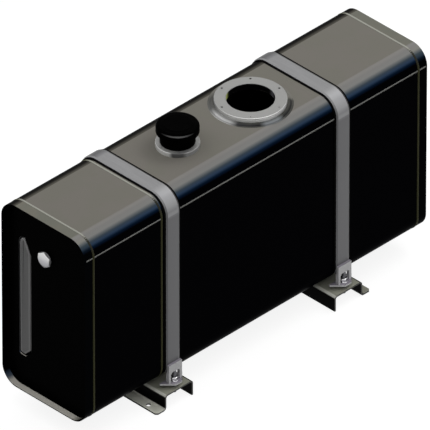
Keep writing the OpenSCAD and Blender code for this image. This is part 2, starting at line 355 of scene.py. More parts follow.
@dataclass(frozen=True)
class Rimmed(ShadedByLean):
    """A finish painted by lean on an end cap, with its own painted reflection inside the rim, made pale
    against the rim's shade.

    Attributes:
        inside: the colour at each lean on the inner side.
        axis: height of the tank's middle line, from which the inner side is told.
        begin: distance from the middle line from which a surface that faces it starts to count as inner.
        whole: distance from which it wholly does.
    """

    inside: ShadeByAngle = ()
    axis: float = 370 * MM
    begin: float = 40 * MM
    whole: float = 60 * MM

    def shaded_by_lean(self, tree: bpy.types.NodeTree, lean: bpy.types.NodeSocket,
                mottled: bpy.types.NodeSocket) -> bpy.types.NodeSocket:
        """Gives the painted colour outside or inside the rim, before the surface turns across.

        Args:
            tree: the material's node tree.
            lean: how far the surface leans, in radians.
            mottled: 1 in a patch on a level stretch, else 0.

        Returns:
            The colour.
        """
        place = add_node(tree, "TexCoord").outputs["Object"]
        across = add_node(tree, "VectorMath", {0: place, 1: (0.0, 1.0, 1.0)}, operation="MULTIPLY").outputs[0]
        middle = (0.0, 0.0, self.axis)
        out = add_node(tree, "VectorMath", {0: across, 1: middle}, operation="SUBTRACT").outputs[0]
        normal = add_node(tree, "NewGeometry").outputs["Normal"]
        facing = add_node(tree, "VectorMath", {0: out, 1: normal}, operation="DOT_PRODUCT").outputs["Value"]
        inner = add_node(
            tree, "MapRange", {"Value": facing, "From Min": -self.begin, "From Max": -self.whole}
        ).outputs[0]
        outside = super().shaded_by_lean(tree, lean, mottled)
        inside = by_angle(tree, lean, self.inside)
        return add_node(
            tree, "Mix", {"Factor": inner, FIRST: outside, SECOND: inside}, data_type="RGBA"
        ).outputs[MIXED]


@dataclass(frozen=True)
class Highlighted(Grained):
    """A grained finish with a painted highlight on the side that faces one way.

    Attributes:
        highlight: colour of the painted highlight.
        heading: the way that side faces, in degrees from +X.
        rise: how far its surface faces up, as the sine of the angle.
        reach: how far the painted highlight spreads from there, across and up, as sines.
        whole: share of that reach within which the painted highlight is full.
    """

    shine: str = "#707070"
    heading: float = -135.0
    rise: float = 0.36
    reach: tuple[float, float] = (0.72, 0.3)
    whole: float = 0.3

    def coat(self, tree: bpy.types.NodeTree, patches: bpy.types.NodeSocket) -> bpy.types.NodeSocket:
        """Gives the surface's colour, with its painted highlight.

        Args:
            tree: the material's node tree.
            patches: 1 in a patch and 0 between patches.

        Returns:
            The colour.
        """
        normal = add_node(tree, "NewGeometry").outputs["Normal"]
        turned = add_node(
            tree,
            "VectorRotate",
            {"Vector": normal, "Angle": -math.radians(self.heading)},
            rotation_type="Z_AXIS",
        ).outputs[0]
        axes = add_node(tree, "SeparateXYZ", {0: turned}).outputs
        across = add_node(tree, "Math", {0: axes["Y"], 1: self.reach[0]}, operation="DIVIDE").outputs[0]
        above = add_node(tree, "Math", {0: axes["Z"], 1: self.rise}, operation="SUBTRACT").outputs[0]
        up = add_node(tree, "Math", {0: above, 1: self.reach[1]}, operation="DIVIDE").outputs[0]
        away = add_node(tree, "CombineXYZ", {0: across, 1: up}).outputs[0]
        far = add_node(tree, "VectorMath", {0: away}, operation="LENGTH").outputs["Value"]
        near = add_node(tree, "MapRange", {"Value": far, "From Min": 1.0, "From Max": self.whole}).outputs[0]
        front = add_node(tree, "Math", {0: axes["X"], 1: 0.0}, operation="GREATER_THAN").outputs[0]
        share = add_node(tree, "Math", {0: near, 1: front}, operation="MULTIPLY").outputs[0]
        plain = super().coat(tree, patches)
        return add_node(
            tree, "Mix", {"Factor": share, FIRST: plain, SECOND: linear(self.shine)}, data_type="RGBA"
        ).outputs[MIXED]


@dataclass(frozen=True)
class Turned(Finish):
    """Steel turned on a lathe, with fine rings about the piece's own Z axis, smudges of oil, and painted
    light and shade round the axis.

    Attributes:
        feed: distance between two rings. A real facing cut leaves one every 0.2 mm, drawn coarser here.
        depth: depth of the rings.
        relief: how strongly that depth shows, from 0 to 1.
        smudge: size of the smudges of oil that hide the rings.
        second: colour in the cuts.
        faces: colour of the level faces round the axis, in degrees from +X, from -180 to 180. Without it
            they have the main colour.
        sides: painted light and shade of the sides round the axis, in the same way.
    """

    feed: float = 2.2 * MM
    depth: float = 0.05 * MM
    relief: float = 0.25
    smudge: float = 30 * MM
    second: str = "#808080"
    faces: ShadeByAngle = ()
    sides: ShadeByAngle = ()

    def pattern(self, tree: bpy.types.NodeTree, shader: bpy.types.bpy_prop_collection) -> None:
        """Adds the rings of the facing cut and the painted light and shade round the axis.

        Args:
            tree: the material's node tree.
            shader: the shader's inputs.
        """
        place = add_node(tree, "TexCoord").outputs["Object"]
        flat = add_node(tree, "VectorMath", {0: place, 1: (1.0, 1.0, 0.0)}, operation="MULTIPLY").outputs[0]
        radius = add_node(tree, "VectorMath", {0: flat}, operation="LENGTH").outputs["Value"]
        turns = add_node(tree, "Math", {0: radius, 1: math.tau / self.feed}, operation="MULTIPLY").outputs[0]
        wave = add_node(tree, "Math", {0: turns}, operation="SINE").outputs[0]
        cut = add_node(tree, "MapRange", {"Value": wave, "From Min": -1.0}).outputs[0]
        oil = add_node(
            tree, "TexNoise", {"Vector": place, "Scale": 1 / self.smudge, "Detail": DETAIL}
        ).outputs[0]
        share = add_node(tree, "Math", {0: cut, 1: oil}, operation="MULTIPLY").outputs[0]
        spot = add_node(tree, "SeparateXYZ", {0: place}).outputs
        way = add_node(tree, "Math", {0: spot["Y"], 1: spot["X"]}, operation="ARCTAN2").outputs[0]
        metal = by_angle(tree, way, self.faces) if self.faces else linear(self.colour)
        faced = add_node(
            tree, "Mix", {"Factor": share, FIRST: metal, SECOND: linear(self.second)}, data_type="RGBA"
        ).outputs[MIXED]
        axes = add_node(tree, "SeparateXYZ", {0: add_node(tree, "NewGeometry").outputs["Normal"]}).outputs
        upright = add_node(
            tree, "MapRange", {"Value": axes["Z"], "From Min": UPRIGHT[0], "From Max": UPRIGHT[1]}
        ).outputs[0]
        # Painted light and shade on the turned sides, by their way round the axis.
        sides_shaded = by_angle(tree, way, self.sides)
        colour = add_node(
            tree, "Mix", {"Factor": upright, FIRST: faced, SECOND: sides_shaded}, data_type="RGBA"
        ).outputs[MIXED]
        tree.links.new(colour, shader["Base Color"])
        bump = add_node(tree, "Bump", {"Height": cut, "Strength": self.relief, "Distance": self.depth})
        tree.links.new(bump.outputs[0], shader["Normal"])


# Painted light and shade: the colour at each lean, where 0 is level and 90 is upright.
BLACK: ShadeByAngle = ((0, "#020202"), (90, "#020202"))
# Painted light on the tank's sheet: a warm grey painted reflection on top that fades to black over the back's
# bend, a paler painted highlight where the sheet turns down to the front, a bluish painted reflection below
# that, then black.
TANK_PAINTED_LIGHT: ShadeByAngle = (
    (-90, "#020202"), (-22, "#020202"), (-14, "#1e1d1a"), (-8, "#383632"), (-3, "#56544d"),
    (0, "#726f69"), (6, "#7e7c79"), (16, "#797876"), (28, "#7e7e7c"), (36, "#5c6164"), (42, "#3a4550"),
    (50, "#2e4058"), (57, "#0a1a2e"), (66, "#020204"),
)
# The same painted light on the end caps' outer side.
CAP_PAINTED_LIGHT: ShadeByAngle = (
    (-90, "#020202"), (-22, "#020202"), (-14, "#1e1d1a"), (-8, "#383632"), (-3, "#56544d"),
    (0, "#716f66"), (6, "#807f7d"), (16, "#7e7c79"), (28, "#83827c"), (36, "#63686a"), (42, "#404b52"),
    (50, "#303e4c"), (57, "#101b28"), (66, "#030406"),
)
# Painted light inside the end caps' rim: a pale painted reflection, made pale against the rim's shade,
# turning bluish and then black as the surface leans to the front.
RIM_PAINTED_LIGHT: ShadeByAngle = (
    (-60, "#020202"), (-30, "#1e1d1a"), (-10, "#a09d94"), (0, "#c8c5bc"), (28, "#c8c5bc"), (42, "#5a6470"),
    (52, "#3c4a5c"), (64, "#020204"),
)
# Painted light on the rails: a grey painted reflection on top and a pale painted highlight where the plate
# bends down to the left, black beyond.
RAIL_PAINTED_LIGHT: ShadeByAngle = (
    (-12, "#020202"), (-4, "#9c9d90"), (14, "#9c9d90"), (26, "#d8d8ce"), (58, "#e8e8de"), (70, "#020202"),
)
# Grey painted light on rail faces that face the front, over the black enamel.
RAIL_FRONT_PAINTED_LIGHT: ShadeByAngle = ((0, "#6e6e6c"), (90, "#6e6e6c"))
# Pale painted light on the left rail's foot, which cancels the shadow of the tank's overhang.
FOOT_PAINTED_LIGHT: ShadeByAngle = ((-12, "#020202"), (-4, "#ebecdf"), (58, "#ebecdf"), (70, "#020202"))
# Painted light on the straps: painted shade darkens the back bend, and a painted highlight grows paler over
# the front bend.
STRAP_PAINTED_LIGHT: ShadeByAngle = (
    (-90, "#767678"), (-28, "#2c2c2e"), (-15, "#3f3f41"), (-9, "#545456"), (-3, "#656567"), (0, "#777778"),
    (12, "#868687"), (26, "#8e8e90"), (40, "#939395"), (56, "#a1a1a3"), (66, "#a5a5a7"), (80, "#929294"),
    (85, "#a2a2a4"), (89, "#a4a4a6"), (90, "#747476"),
)
# Painted light on the straps' rolled edges: the left one a little lighter on top, the right one black on top
# as painted shade, both darker in front.
STRAP_LEFT_EDGE_LIGHT: ShadeByAngle = ((0, "#7c7c7d"), (45, "#7c7c7d"), (90, "#626264"))
STRAP_RIGHT_EDGE_SHADE: ShadeByAngle = ((0, "#0a0a0a"), (50, "#1c1c1e"), (90, "#626264"))
# Painted light on the shoes: darker and mauve where level, paler where they face the front or the back.
SHOE_PAINTED_LIGHT: ShadeByAngle = (
    (-90, "#b0b0b2"), (0, "#8f8b94"), (30, "#a0a0a2"), (55, "#c8c8ca"), (75, "#d4d4d5"), (90, "#d4d4d5"),
)
# Painted light on the weld beads: a pale painted highlight on top, painted shade where they lean to the
# front, olive where upright.
BEAD_PAINTED_LIGHT: ShadeByAngle = (
    (-90, "#45452e"), (-30, "#45452e"), (-10, "#909088"), (0, "#989890"), (14, "#989890"), (32, "#30302a"),
    (60, "#30302a"), (90, "#45452e"),
)
BEAD_SHADE: ShadeByAngle = ((-90, "#45452e"), (0, "#58584e"), (14, "#58584e"), (32, "#1c1c18"), (90, "#45452e"))
# Painted shade in the gauge pocket: black on the level floor, grey primer on the sides.
POCKET_PAINTED_SHADE: ShadeByAngle = (
    (-90, "#68686a"), (-75, "#0a0a0a"), (30, "#0a0a0a"), (60, "#68686a"), (90, "#68686a"),
)
# Painted highlights on the gauge body: pale on its rounded edges, grey on its flat face.
GAUGE_PAINTED_HIGHLIGHT: ShadeByAngle = ((60, "#a4a4a4"), (82, "#9a9a9a"), (88, "#7a7a7a"), (92, "#7a7a7a"), (110, "#a4a4a4"))
GAUGE_EDGE_HIGHLIGHT: ShadeByAngle = ((60, "#a0a0a0"), (90, "#9a9a9a"))
# Painted light on the plug's head: a white painted highlight above, grey below, dark as painted shade on the
# side that faces the front.
PLUG_PAINTED_LIGHT: ShadeByAngle = ((30, "#c0c0c0"), (70, "#ffffff"), (84, "#f0f0f0"), (92, "#c8c8cc"), (106, "#909094"))
PLUG_FRONT_SHADE: ShadeByAngle = ((30, "#b0b0b2"), (90, "#202022"))
PLUG_BACK_LIGHT: ShadeByAngle = ((30, "#c0c0c0"), (90, "#a0a0a4"))

# Gloss enamel, sprayed over sheet: a deep black that mirrors little, with painted reflections and highlights
# by lean, and grey patches where it is level.
TANK_ENAMEL = ShadedByLean(
    "gloss_black_enamel_sheet", "tank_paint", "#020202", 0.32, specular=0.002, film=TANK_PAINTED_LIGHT,
    second="#706e67", ends=(End(BLACK), End(BLACK)), patch=70 * MM, grain=9 * MM, depth=0.09 * MM,
)
# The same enamel on the pressed caps: black flanks, the same painted light outside, and a paler painted
# reflection on the rim's inner side.
CAP_ENAMEL = Rimmed(
    "gloss_black_enamel_pressed_cap", "tank_paint", "#020202", 0.32, specular=0.002, film=CAP_PAINTED_LIGHT,
    second="#6c6c64", ends=(End(BLACK, 0.05, 0.3), End(BLACK, 0.05, 0.3)), patch=70 * MM, grain=9 * MM,
    depth=0.09 * MM, inside=RIM_PAINTED_LIGHT,
)
# The same enamel on the rails' bent plate: pale painted light on top, made pale against the tank's shadow,
# and a painted highlight where it bends to the left.
RAIL_ENAMEL = ShadedByLean(
    "gloss_black_enamel_bent_plate", "rail_paint", "#020202", 0.35, specular=0.01, film=RAIL_PAINTED_LIGHT,
    lean=Lean.LEFT, second="#a6a698", ends=(End(RAIL_FRONT_PAINTED_LIGHT), End(BLACK)), patch=40 * MM, grain=9 * MM,
    depth=0.09 * MM,
)
# The same enamel on the left rail's foot, which lies under the overhang: paler painted light that cancels the
# overhang's shadow.
FOOT_ENAMEL = ShadedByLean(
    "gloss_black_enamel_foot_painted_light", "rail_paint", "#020202", 0.35, specular=0.01, film=FOOT_PAINTED_LIGHT,
    lean=Lean.LEFT, second="#dedfd2", patch=40 * MM, grain=9 * MM, depth=0.09 * MM,
)
# Weld bead, painted over: dull and knobbly, with a pale painted highlight on top, olive where it stands
# upright, and painted shade on its flank towards -X.
RING_WELD = ShadedByLean(
    "weld_bead_painted", "weld_bead", "#45452e", 0.5, specular=0.03, film=BEAD_PAINTED_LIGHT, second="#9c9c94",
    ends=(End(BEAD_SHADE, 0.2, 0.6), End(BEAD_PAINTED_LIGHT, 0.2, 0.6)), patch=12 * MM, grain=3 * MM, depth=0.2 * MM,
)
# Long seam, dressed flat after welding: bare grey steel.
SEAM_WELD = Grained(
    "weld_bead_dressed", "weld_bead", "#8a8a88", 0.5, specular=0.1, second="#84847f", patch=12 * MM,
    grain=3 * MM, depth=0.2 * MM,
)
# Grey primer in the pocket: matt and cloudy on the sides, and black on the floor as painted shade.
POCKET_PRIMER = ShadedByLean(
    "grey_primer_sprayed", "pocket_paint", "#0a0a0a", 0.6, specular=0.02, film=POCKET_PAINTED_SHADE, second="#0a0a0a",
    patch=60 * MM,
)
# Grey enamel over a cast gauge body: satin, with painted highlights that make it pale along its rounded
# edges.
GAUGE_ENAMEL = ShadedByLean(
    "grey_enamel_cast_body", "gauge_paint", "#7a7a7a", 0.5, specular=0.15, film=GAUGE_PAINTED_HIGHLIGHT, lean=Lean.LEFT,
    second="#7a7a7a", ends=(End(GAUGE_EDGE_HIGHLIGHT, 0.05, 0.2), End(GAUGE_EDGE_HIGHLIGHT, 0.05, 0.2)), patch=60 * MM,
    depth=0.05 * MM,
)
# Mild steel faced on a lathe: a soft shine with fine rings, and turned sides with a painted reflection that
# makes them brightest at the left.
FACED_STEEL = Turned(
    "mild_steel_faced", "flange_steel", "#7e7e7c", 0.42, metallic=0.25, second="#777775",
    sides=((-180, "#c0c0be"), (-150, "#e0e0de"), (-110, "#e8e8e6"), (-70, "#c8c8c8"), (-45, "#a0a09e"),
           (0, "#808080"), (120, "#808080"), (150, "#909090"), (180, "#c0c0be")),
)
# The flange's bore, turned: painted shade leaves it nearly black, with an olive and a grey painted
# reflection.
BORE_STEEL = Turned(
    "mild_steel_bore_painted_shade", "flange_steel", "#7e7e7c", 0.42, second="#777775", specular=0.05,
    sides=((-180, "#020202"), (-30, "#020202"), (-18, "#606064"), (-6, "#0a0a0a"), (0, "#020202"),
           (108, "#020202"), (120, "#c8d478"), (150, "#d4d8a4"), (160, "#020202"), (180, "#020202")),
)
# Flared weld ring and the band of sheet round it: a painted reflection makes them bright on the left, and
# painted shade leaves them black in front and to the right.
FLARE_STEEL = Turned(
    "weld_ring_painted_light", "flange_steel", "#707068", 0.5, specular=0.1, second="#6a6a62",
    faces=((-180, "#a0a0a0"), (-166, "#989898"), (-154, "#303032"), (-122, "#141416"), (-112, "#606468"),
           (-92, "#606468"), (-80, "#0a0a0a"), (-40, "#0a0a0a"), (-32, "#6e6c66"), (100, "#6e6c66"),
           (125, "#3c3c3a"), (150, "#505050"), (168, "#a0a0a0"), (180, "#a0a0a0")),
    sides=((-180, "#d0d0d0"), (-166, "#c0c0c0"), (-154, "#303032"), (-122, "#141416"), (-112, "#808488"),
           (-92, "#808488"), (-80, "#0a0a0a"), (-40, "#0a0a0a"), (-32, "#6e6c66"), (100, "#6e6c66"),
           (125, "#3c3c3a"), (150, "#606060"), (168, "#d0d0d0"), (180, "#d0d0d0")),
)
# Neck ring, turned bright: a light grey, with a painted highlight on its left and painted shade that darkens
# it round its front.
NECK_STEEL = Turned(
    "mild_steel_turned_bright", "flange_steel", "#8a8a88", 0.4, metallic=0.1, second="#7c7c7a",
    faces=((-180, "#989896"), (-150, "#8c8c8a"), (-130, "#606060"), (-100, "#6a6a6a"), (-60, "#6c6c6a"),
           (0, "#6c6c6a"), (180, "#989896")),
    sides=((-180, "#d8d8d6"), (-158, "#c8c8c6"), (-148, "#505050"), (-122, "#505050"), (-110, "#909090"),
           (-60, "#909090"), (60, "#606060"), (180, "#d8d8d6")),
)
# Cold-rolled strip: a satin grey drawn out along the strap, with painted light by lean: a painted highlight
# over the front bend, painted shade over the back bend and along the rolled edges.
STRAP_STRIP = ShadedByLean(
    "cold_rolled_steel_strip", "strap_steel", "#86868a", 0.42, metallic=0.15, specular=0.4, film=STRAP_PAINTED_LIGHT,
    second="#737374", ends=(End(STRAP_LEFT_EDGE_LIGHT, 0.12, 0.3), End(STRAP_RIGHT_EDGE_SHADE, 0.12, 0.3)), patch=30 * MM,
    stretch=(0.3, 4.0, 4.0),
)
# Folded strip, shot-blasted after welding: paler and duller than the strap, with painted light that leaves it
# darker and mauve where level and paler where it faces front or back.
SHOE_STRIP = ShadedByLean(
    "folded_steel_strip_blasted", "shoe_steel", "#d4d4d5", 0.5, metallic=0.1, specular=0.4, film=SHOE_PAINTED_LIGHT,
    second="#8a8590", patch=14 * MM,
)
# Zinc plate over pressed steel: grey, with a painted highlight as a bright streak in front.
ZINC = Highlighted(
    "zinc_plated_steel", "zinc", "#9a9a9e", 0.25, metallic=1.0, second="#88888c", patch=8 * MM,
    grain=1.5 * MM, depth=0.03 * MM, shine="#ffffff", heading=-112.0, rise=0.1, reach=(0.6, 1.4),
)
# Rolled thread, black from the furnace under its grease.
THREAD_STEEL = Grained(
    "rolled_thread_greased", "zinc", "#5c5c60", 0.4, metallic=0.6, second="#4c4c50", patch=8 * MM
)
# Zinc plate over a turned head: a painted highlight makes it bright above, with painted shade grey below and
# dark in front.
PLUG_ZINC = ShadedByLean(
    "zinc_plated_plug_head", "zinc", "#e0e0e0", 0.35, metallic=0.45, specular=0.4, film=PLUG_PAINTED_LIGHT,
    lean=Lean.LEFT, second="#d0d0d0", ends=(End(PLUG_FRONT_SHADE, 0.3, 0.7), End(PLUG_BACK_LIGHT, 0.3, 0.7)),
    patch=8 * MM, grain=1.5 * MM, depth=0.03 * MM,
)
# Mild steel boss, turned and left bare: a dull grey.
BOSS_STEEL = Grained(
    "mild_steel_turned_boss", "zinc", "#8a8a8e", 0.4, metallic=0.4, second="#7a7a7e", patch=8 * MM
)
# Glass-filled nylon, moulded: almost black, with a soft painted highlight on its front-left side.
CAP_NYLON = Highlighted(
    "glass_filled_nylon_moulded", "cap_plastic", "#010101", 0.38, specular=0.002, second="#020202",
    patch=20 * MM, grain=1.6 * MM, depth=0.05 * MM,
)
# Extruded rubber: matt black with a powdery bloom.
RUBBER = Grained(
    "black_rubber_extruded", "rubber", "#040404", 0.8, specular=0.02, second="#070707", patch=25 * MM
)


# ---------------------------------------------------------------------------------------------------------
# Mesh making
# ---------------------------------------------------------------------------------------------------------

# Steps round a turned piece, and round a large one.
ROUND, LARGE_ROUND = 96, 128
# Segments of a softened edge.
BEVEL_STEPS = 3
# Distance under which two points are merged.
SAME = 1e-6
# Angle in degrees under which two faces are merged.
FLAT = 1.0
# How far up a face's normal points when it counts as level rather than upright.
HALF_UP = 0.5


def object_of(name: str, mesh: bpy.types.Mesh, origin: Vector, sharp: float = SHARP) -> bpy.types.Object:
    """Makes an object of a mesh that is drawn about its own origin, shaded smooth up to an angle.

    Args:
        name: the piece's name.
        mesh: its mesh.
        origin: where the piece's origin lies.
        sharp: angle in degrees over which an edge is shaded sharp.

    Returns:
        The object, linked to the scene.
    """
    for face in mesh.polygons:
        face.use_smooth = True
    mesh.set_sharp_from_angle(angle=math.radians(sharp))
    made = bpy.data.objects.new(name, mesh)
    made.location = origin
    bpy.context.scene.collection.objects.link(made)
    return made


def skin(name: str, rings: Sequence[Ring], origin: Vector = Vector(), loop: bool = False,
         sharp: float = SHARP) -> bpy.types.Object:
    """Joins rings of points into one closed surface.

    Args:
        name: the piece's name.
        rings: rings with equal numbers of points, each closed.
        origin: where the piece's origin lies.
        loop: whether the last ring meets the first. If not, both ends are closed with a flat face.
        sharp: angle in degrees over which an edge is shaded sharp.

    Returns:
        The finished object.
    """
    shape = bmesh.new()
    rows = [[shape.verts.new(point) for point in ring] for ring in rings]
    count = len(rows[0])
    for i in range(len(rows) if loop else len(rows) - 1):
        one, two = rows[i], rows[(i + 1) % len(rows)]
        for j in range(count):
            k = (j + 1) % count
            shape.faces.new((one[j], one[k], two[k], two[j]))
    if not loop:
        shape.faces.new(rows[0])
        shape.faces.new(rows[-1])
    bmesh.ops.remove_doubles(shape, verts=shape.verts, dist=SAME)
    bmesh.ops.recalc_face_normals(shape, faces=shape.faces)
    mesh = bpy.data.meshes.new(name)
    shape.to_mesh(mesh)
    shape.free()
    return object_of(name, mesh, origin, sharp)


def turned_rings(profile: Outline, steps: int = ROUND,
                 radius: Callable[[float, float, float], float] | None = None) -> list[Ring]:
    """Turns a profile about the Z axis.

    Args:
        profile: radius and height of each point.
        steps: number of points round the axis.
        radius: changes a point's radius, from its angle, radius and height.

    Returns:
        One ring for each point of the profile.
    """
    rings = []
    for r, z in profile:
        ring = []
        for i in range(steps):
            angle = math.tau * i / steps
            reach = radius(angle, r, z) if radius else r
            ring.append(Vector((reach * math.cos(angle), reach * math.sin(angle), z)))
        rings.append(ring)
    return rings


def arc(centre: tuple[float, float], radius: float, start: float, end: float, steps: int = 6) -> Outline:
    """Points on an arc.

    Args:
        centre: the arc's centre.
        radius: its radius.
        start: angle of its first point, in degrees.
        end: angle of its last point, in degrees.
        steps: number of chords.

    Returns:
        The points, both ends included.
    """
    angles = (math.radians(start + (end - start) * i / steps) for i in range(steps + 1))
    return [(centre[0] + radius * math.cos(a), centre[1] + radius * math.sin(a)) for a in angles]


def inset(outline: Outline, width: float) -> Outline:
    """Moves every edge of an outline inwards.

    Args:
        outline: the outline's points, counter-clockwise.
        width: how far the edges move.

    Returns:
        The smaller outline, with as many points.
    """
    points = [Vector(point) for point in outline]
    smaller = []
    for i, point in enumerate(points):
        before = (point - points[i - 1]).normalized().orthogonal()
        after = (points[(i + 1) % len(points)] - point).normalized().orthogonal()
        moved = point + width * (before + after) / (1 + before.dot(after))
        smaller.append((moved.x, moved.y))
    return smaller


def prism(outline: Outline, low: float, high: float, place: Matrix = Matrix()) -> bpy.types.Object:
    """Extrudes a closed outline along Z, to be joined with or cut from another.

    Args:
        outline: the points of the outline in X and Y, in order.
        low: height at which it starts.
        high: height at which it ends.
        place: moves the finished prism.

    Returns:
        The prism as an object.
    """
    rings = [[place @ Vector((x, y, z)) for x, y in outline] for z in (low, high)]
    return skin("prism", rings)


def rod(radius: float, low: float, high: float, centre: tuple[float, float],
        steps: int = 32) -> bpy.types.Object:
    """Makes an upright round rod, to cut a hole with."""
    return prism(arc(centre, radius, 0, 360 * (1 - 1 / steps), steps - 1), low, high)


def combine(base: bpy.types.Object, others: Sequence[bpy.types.Object], how: str) -> bpy.types.Object:
    """Joins solids to a base or cuts them from it.

    Args:
        base: the solid that is kept.
        others: the solids that are used up.
        how: UNION or DIFFERENCE.

    Returns:
        The base with its new mesh.
    """
    for other in others:
        step = base.modifiers.new("combine", "BOOLEAN")
        step.object, step.operation, step.solver = other, how, "EXACT"
        bpy.context.view_layer.update()
        graph = bpy.context.evaluated_depsgraph_get()
        mesh = bpy.data.meshes.new_from_object(base.evaluated_get(graph))
        base.modifiers.clear()
        base.data = mesh
        bpy.data.objects.remove(other)
    return base


def as_piece(name: str, solid: bpy.types.Object, origin: Vector, soften: float,
             place: Matrix = Matrix()) -> bpy.types.Object:
    """Turns a solid into a finished piece with soft edges.

    Args:
        name: the piece's name.
        solid: the solid, which is used up.
        origin: where the piece's origin lies.
        soften: width of the bevel along its edges.
        place: turns or mirrors the solid about its own origin first.

    Returns:
        The finished piece.
    """
    shape = bmesh.new()
    shape.from_mesh(solid.data)
    bmesh.ops.remove_doubles(shape, verts=shape.verts, dist=SAME)
    bmesh.ops.dissolve_limit(shape, angle_limit=math.radians(FLAT), verts=shape.verts, edges=shape.edges)
    bmesh.ops.transform(shape, matrix=place, verts=shape.verts)
    bmesh.ops.recalc_face_normals(shape, faces=shape.faces)
    mesh = bpy.data.meshes.new(name)
    shape.to_mesh(mesh)
    shape.free()
    bpy.data.objects.remove(solid)
    made = object_of(name, mesh, origin)
    bevel = made.modifiers.new("soft edges", "BEVEL")
    bevel.width, bevel.segments, bevel.harden_normals = soften, BEVEL_STEPS, True
    bevel.limit_method, bevel.angle_limit = "ANGLE", math.radians(SHARP)
    return made


def hexagon_rings(flats: float, low: float, high: float, inner: float, chamfer: float, both: bool = False,
                  steps: int = ROUND) -> list[Ring]:
    """Draws a hexagon whose corners are turned down, as on a real nut.

    Args:
        flats: width over the flats.
        low: height of its underside.
        high: height of its top.
        inner: radius at which the chamfer meets the top.
        chamfer: slope of the chamfer.
        both: whether the underside is chamfered too.
        steps: number of points round the axis, a multiple of 12.

    Returns:
        Rings from the underside to the top.
    """
    def reach(angle: float) -> float:
        """Gives the hexagon's radius at an angle."""
        return flats / 2 / math.cos(angle % (math.pi / 3) - math.pi / 6)

    def ring(height_of: Callable[[float], float], radius_of: Callable[[float], float]) -> Ring:
        """Makes one ring.

        Args:
            height_of: gives its height at an angle.
            radius_of: gives its radius at an angle.

        Returns:
            The ring.
        """
        angles = [math.tau * i / steps for i in range(steps)]
        return [
            Vector((radius_of(a) * math.cos(a), radius_of(a) * math.sin(a), height_of(a))) for a in angles
        ]

    def drop(angle: float) -> float:
        """Gives how far the chamfer has come down at an angle."""
        return max(0.0, reach(angle) - inner) * math.tan(chamfer)

    rings = []
    if both:
        rings.append(ring(lambda a: low, lambda a: inner))
    rings.append(ring(lambda a: low + (drop(a) if both else 0.0), reach))
    rings.append(ring(lambda a: high - drop(a), reach))
    rings.append(ring(lambda a: high, lambda a: inner))
    return rings


def underside(node: str) -> Vector:
    """Gives the middle of a CAD node's underside."""
    low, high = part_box(node)
    return Vector(((low.x + high.x) / 2, (low.y + high.y) / 2, low.z))


def dress(node: str, finish: Finish) -> None:
    """Gives a CAD node that is kept its finish.

    Args:
        node: the node's name.
        finish: its finish.
    """
    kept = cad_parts[node]
    kept.data.materials.clear()
    kept.data.materials.append(finish.material())
    LOG.info("%s keeps its CAD mesh and gets %s", node, finish.name)


def coat_faces(piece: bpy.types.Object, finish: Finish,
               belongs: Callable[[bpy.types.MeshPolygon], bool]) -> None:
    """Gives some of a dressed piece's faces a finish of their own.

    Args:
        piece: the piece, already dressed.
        finish: the finish of those faces.
        belongs: tells whether a face is one of them.
    """
    piece.data.materials.append(finish.material())
    for face in piece.data.polygons:
        if belongs(face):
            face.material_index = len(piece.data.materials) - 1


def fit(piece: bpy.types.Object, finish: Finish, *nodes: str) -> None:
    """Dresses a new piece and puts it in the place of its CAD nodes.

    Args:
        piece: the piece, already where it belongs.
        finish: its finish.
        nodes: the CAD nodes that it stands in for, none for a piece that is added to them.
    """
    piece.data.materials.clear()
    piece.data.materials.append(finish.material())
    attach(piece, "root")
    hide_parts(*nodes)
    count, stands_for = len(piece.data.polygons), ", ".join(nodes) or "no CAD node"
    LOG.info("%s: %d faces, %s, for %s", piece.name, count, finish.name, stands_for)


# ---------------------------------------------------------------------------------------------------------
# Tank
# ---------------------------------------------------------------------------------------------------------


class Side(Enum):
    """A side of the tank along its length."""

    LEFT = -1
    RIGHT = 1


class Corner(Enum):
    """A foot of the tank, by its side along X and across Y."""

    FRONT_LEFT = (-1, -1)
    FRONT_RIGHT = (1, -1)
    BACK_LEFT = (-1, 1)
    BACK_RIGHT = (1, 1)


@dataclass
class Section:
    """The tank's cross-section, a rectangle with round corners.

    Attributes:
        corner: radius of the corners.
        low: lowest corner of the tank.
        high: highest corner of the tank.
    """

    corner: float = 54 * MM
    low: Vector = field(default_factory=lambda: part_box("end_cap_left")[0])
    high: Vector = field(default_factory=lambda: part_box("end_cap_right")[1])

    @property
    def flat(self) -> float:
        """Half the width of the level top between its round corners."""
        return self.high.y - self.corner

    @property
    def upright(self) -> float:
        """Height of the upright side between its round corners."""
        return self.high.z - self.low.z - 2 * self.corner

    @property
    def length(self) -> float:
        """Length once round the section."""
        return 4 * self.flat + 2 * self.upright + math.tau * self.corner

    def at(self, distance: float, out: float = 0.0) -> tuple[float, float]:
        """Finds a point of the section.

        Args:
            distance: the way along the section from the middle of the top, towards the front.
            out: distance of the point outside the section.

        Returns:
            The point's Y and Z.
        """
        way = distance % self.length
        if way > self.length / 2:
            y, z = self.at(self.length - way, out)
            return -y, z
        turn = math.pi / 2 * self.corner
        if way < self.flat:
            return -way, self.high.z + out
        way -= self.flat
        reach = self.corner + out
        if way < turn:
            angle = way / self.corner
            return -self.flat - reach * math.sin(angle), self.high.z - self.corner + reach * math.cos(angle)
        way -= turn
        if way < self.upright:
            return self.low.y - out, self.high.z - self.corner - way
        way -= self.upright
        if way < turn:
            angle = way / self.corner
            return -self.flat - reach * math.cos(angle), self.low.z + self.corner - reach * math.sin(angle)
        return way - turn - self.flat, self.low.z - out


class TankBody:
    """The sheet-metal body: two shells, two pressed end caps and the gauge pocket, all kept from CAD."""

    def build(self) -> None:
        """Dresses the body's nodes."""
        for side in Side:
            dress(f"shell_{side.name.lower()}", TANK_ENAMEL)
            dress(f"end_cap_{side.name.lower()}", CAP_ENAMEL)
        dress("gauge_pocket", POCKET_PRIMER)


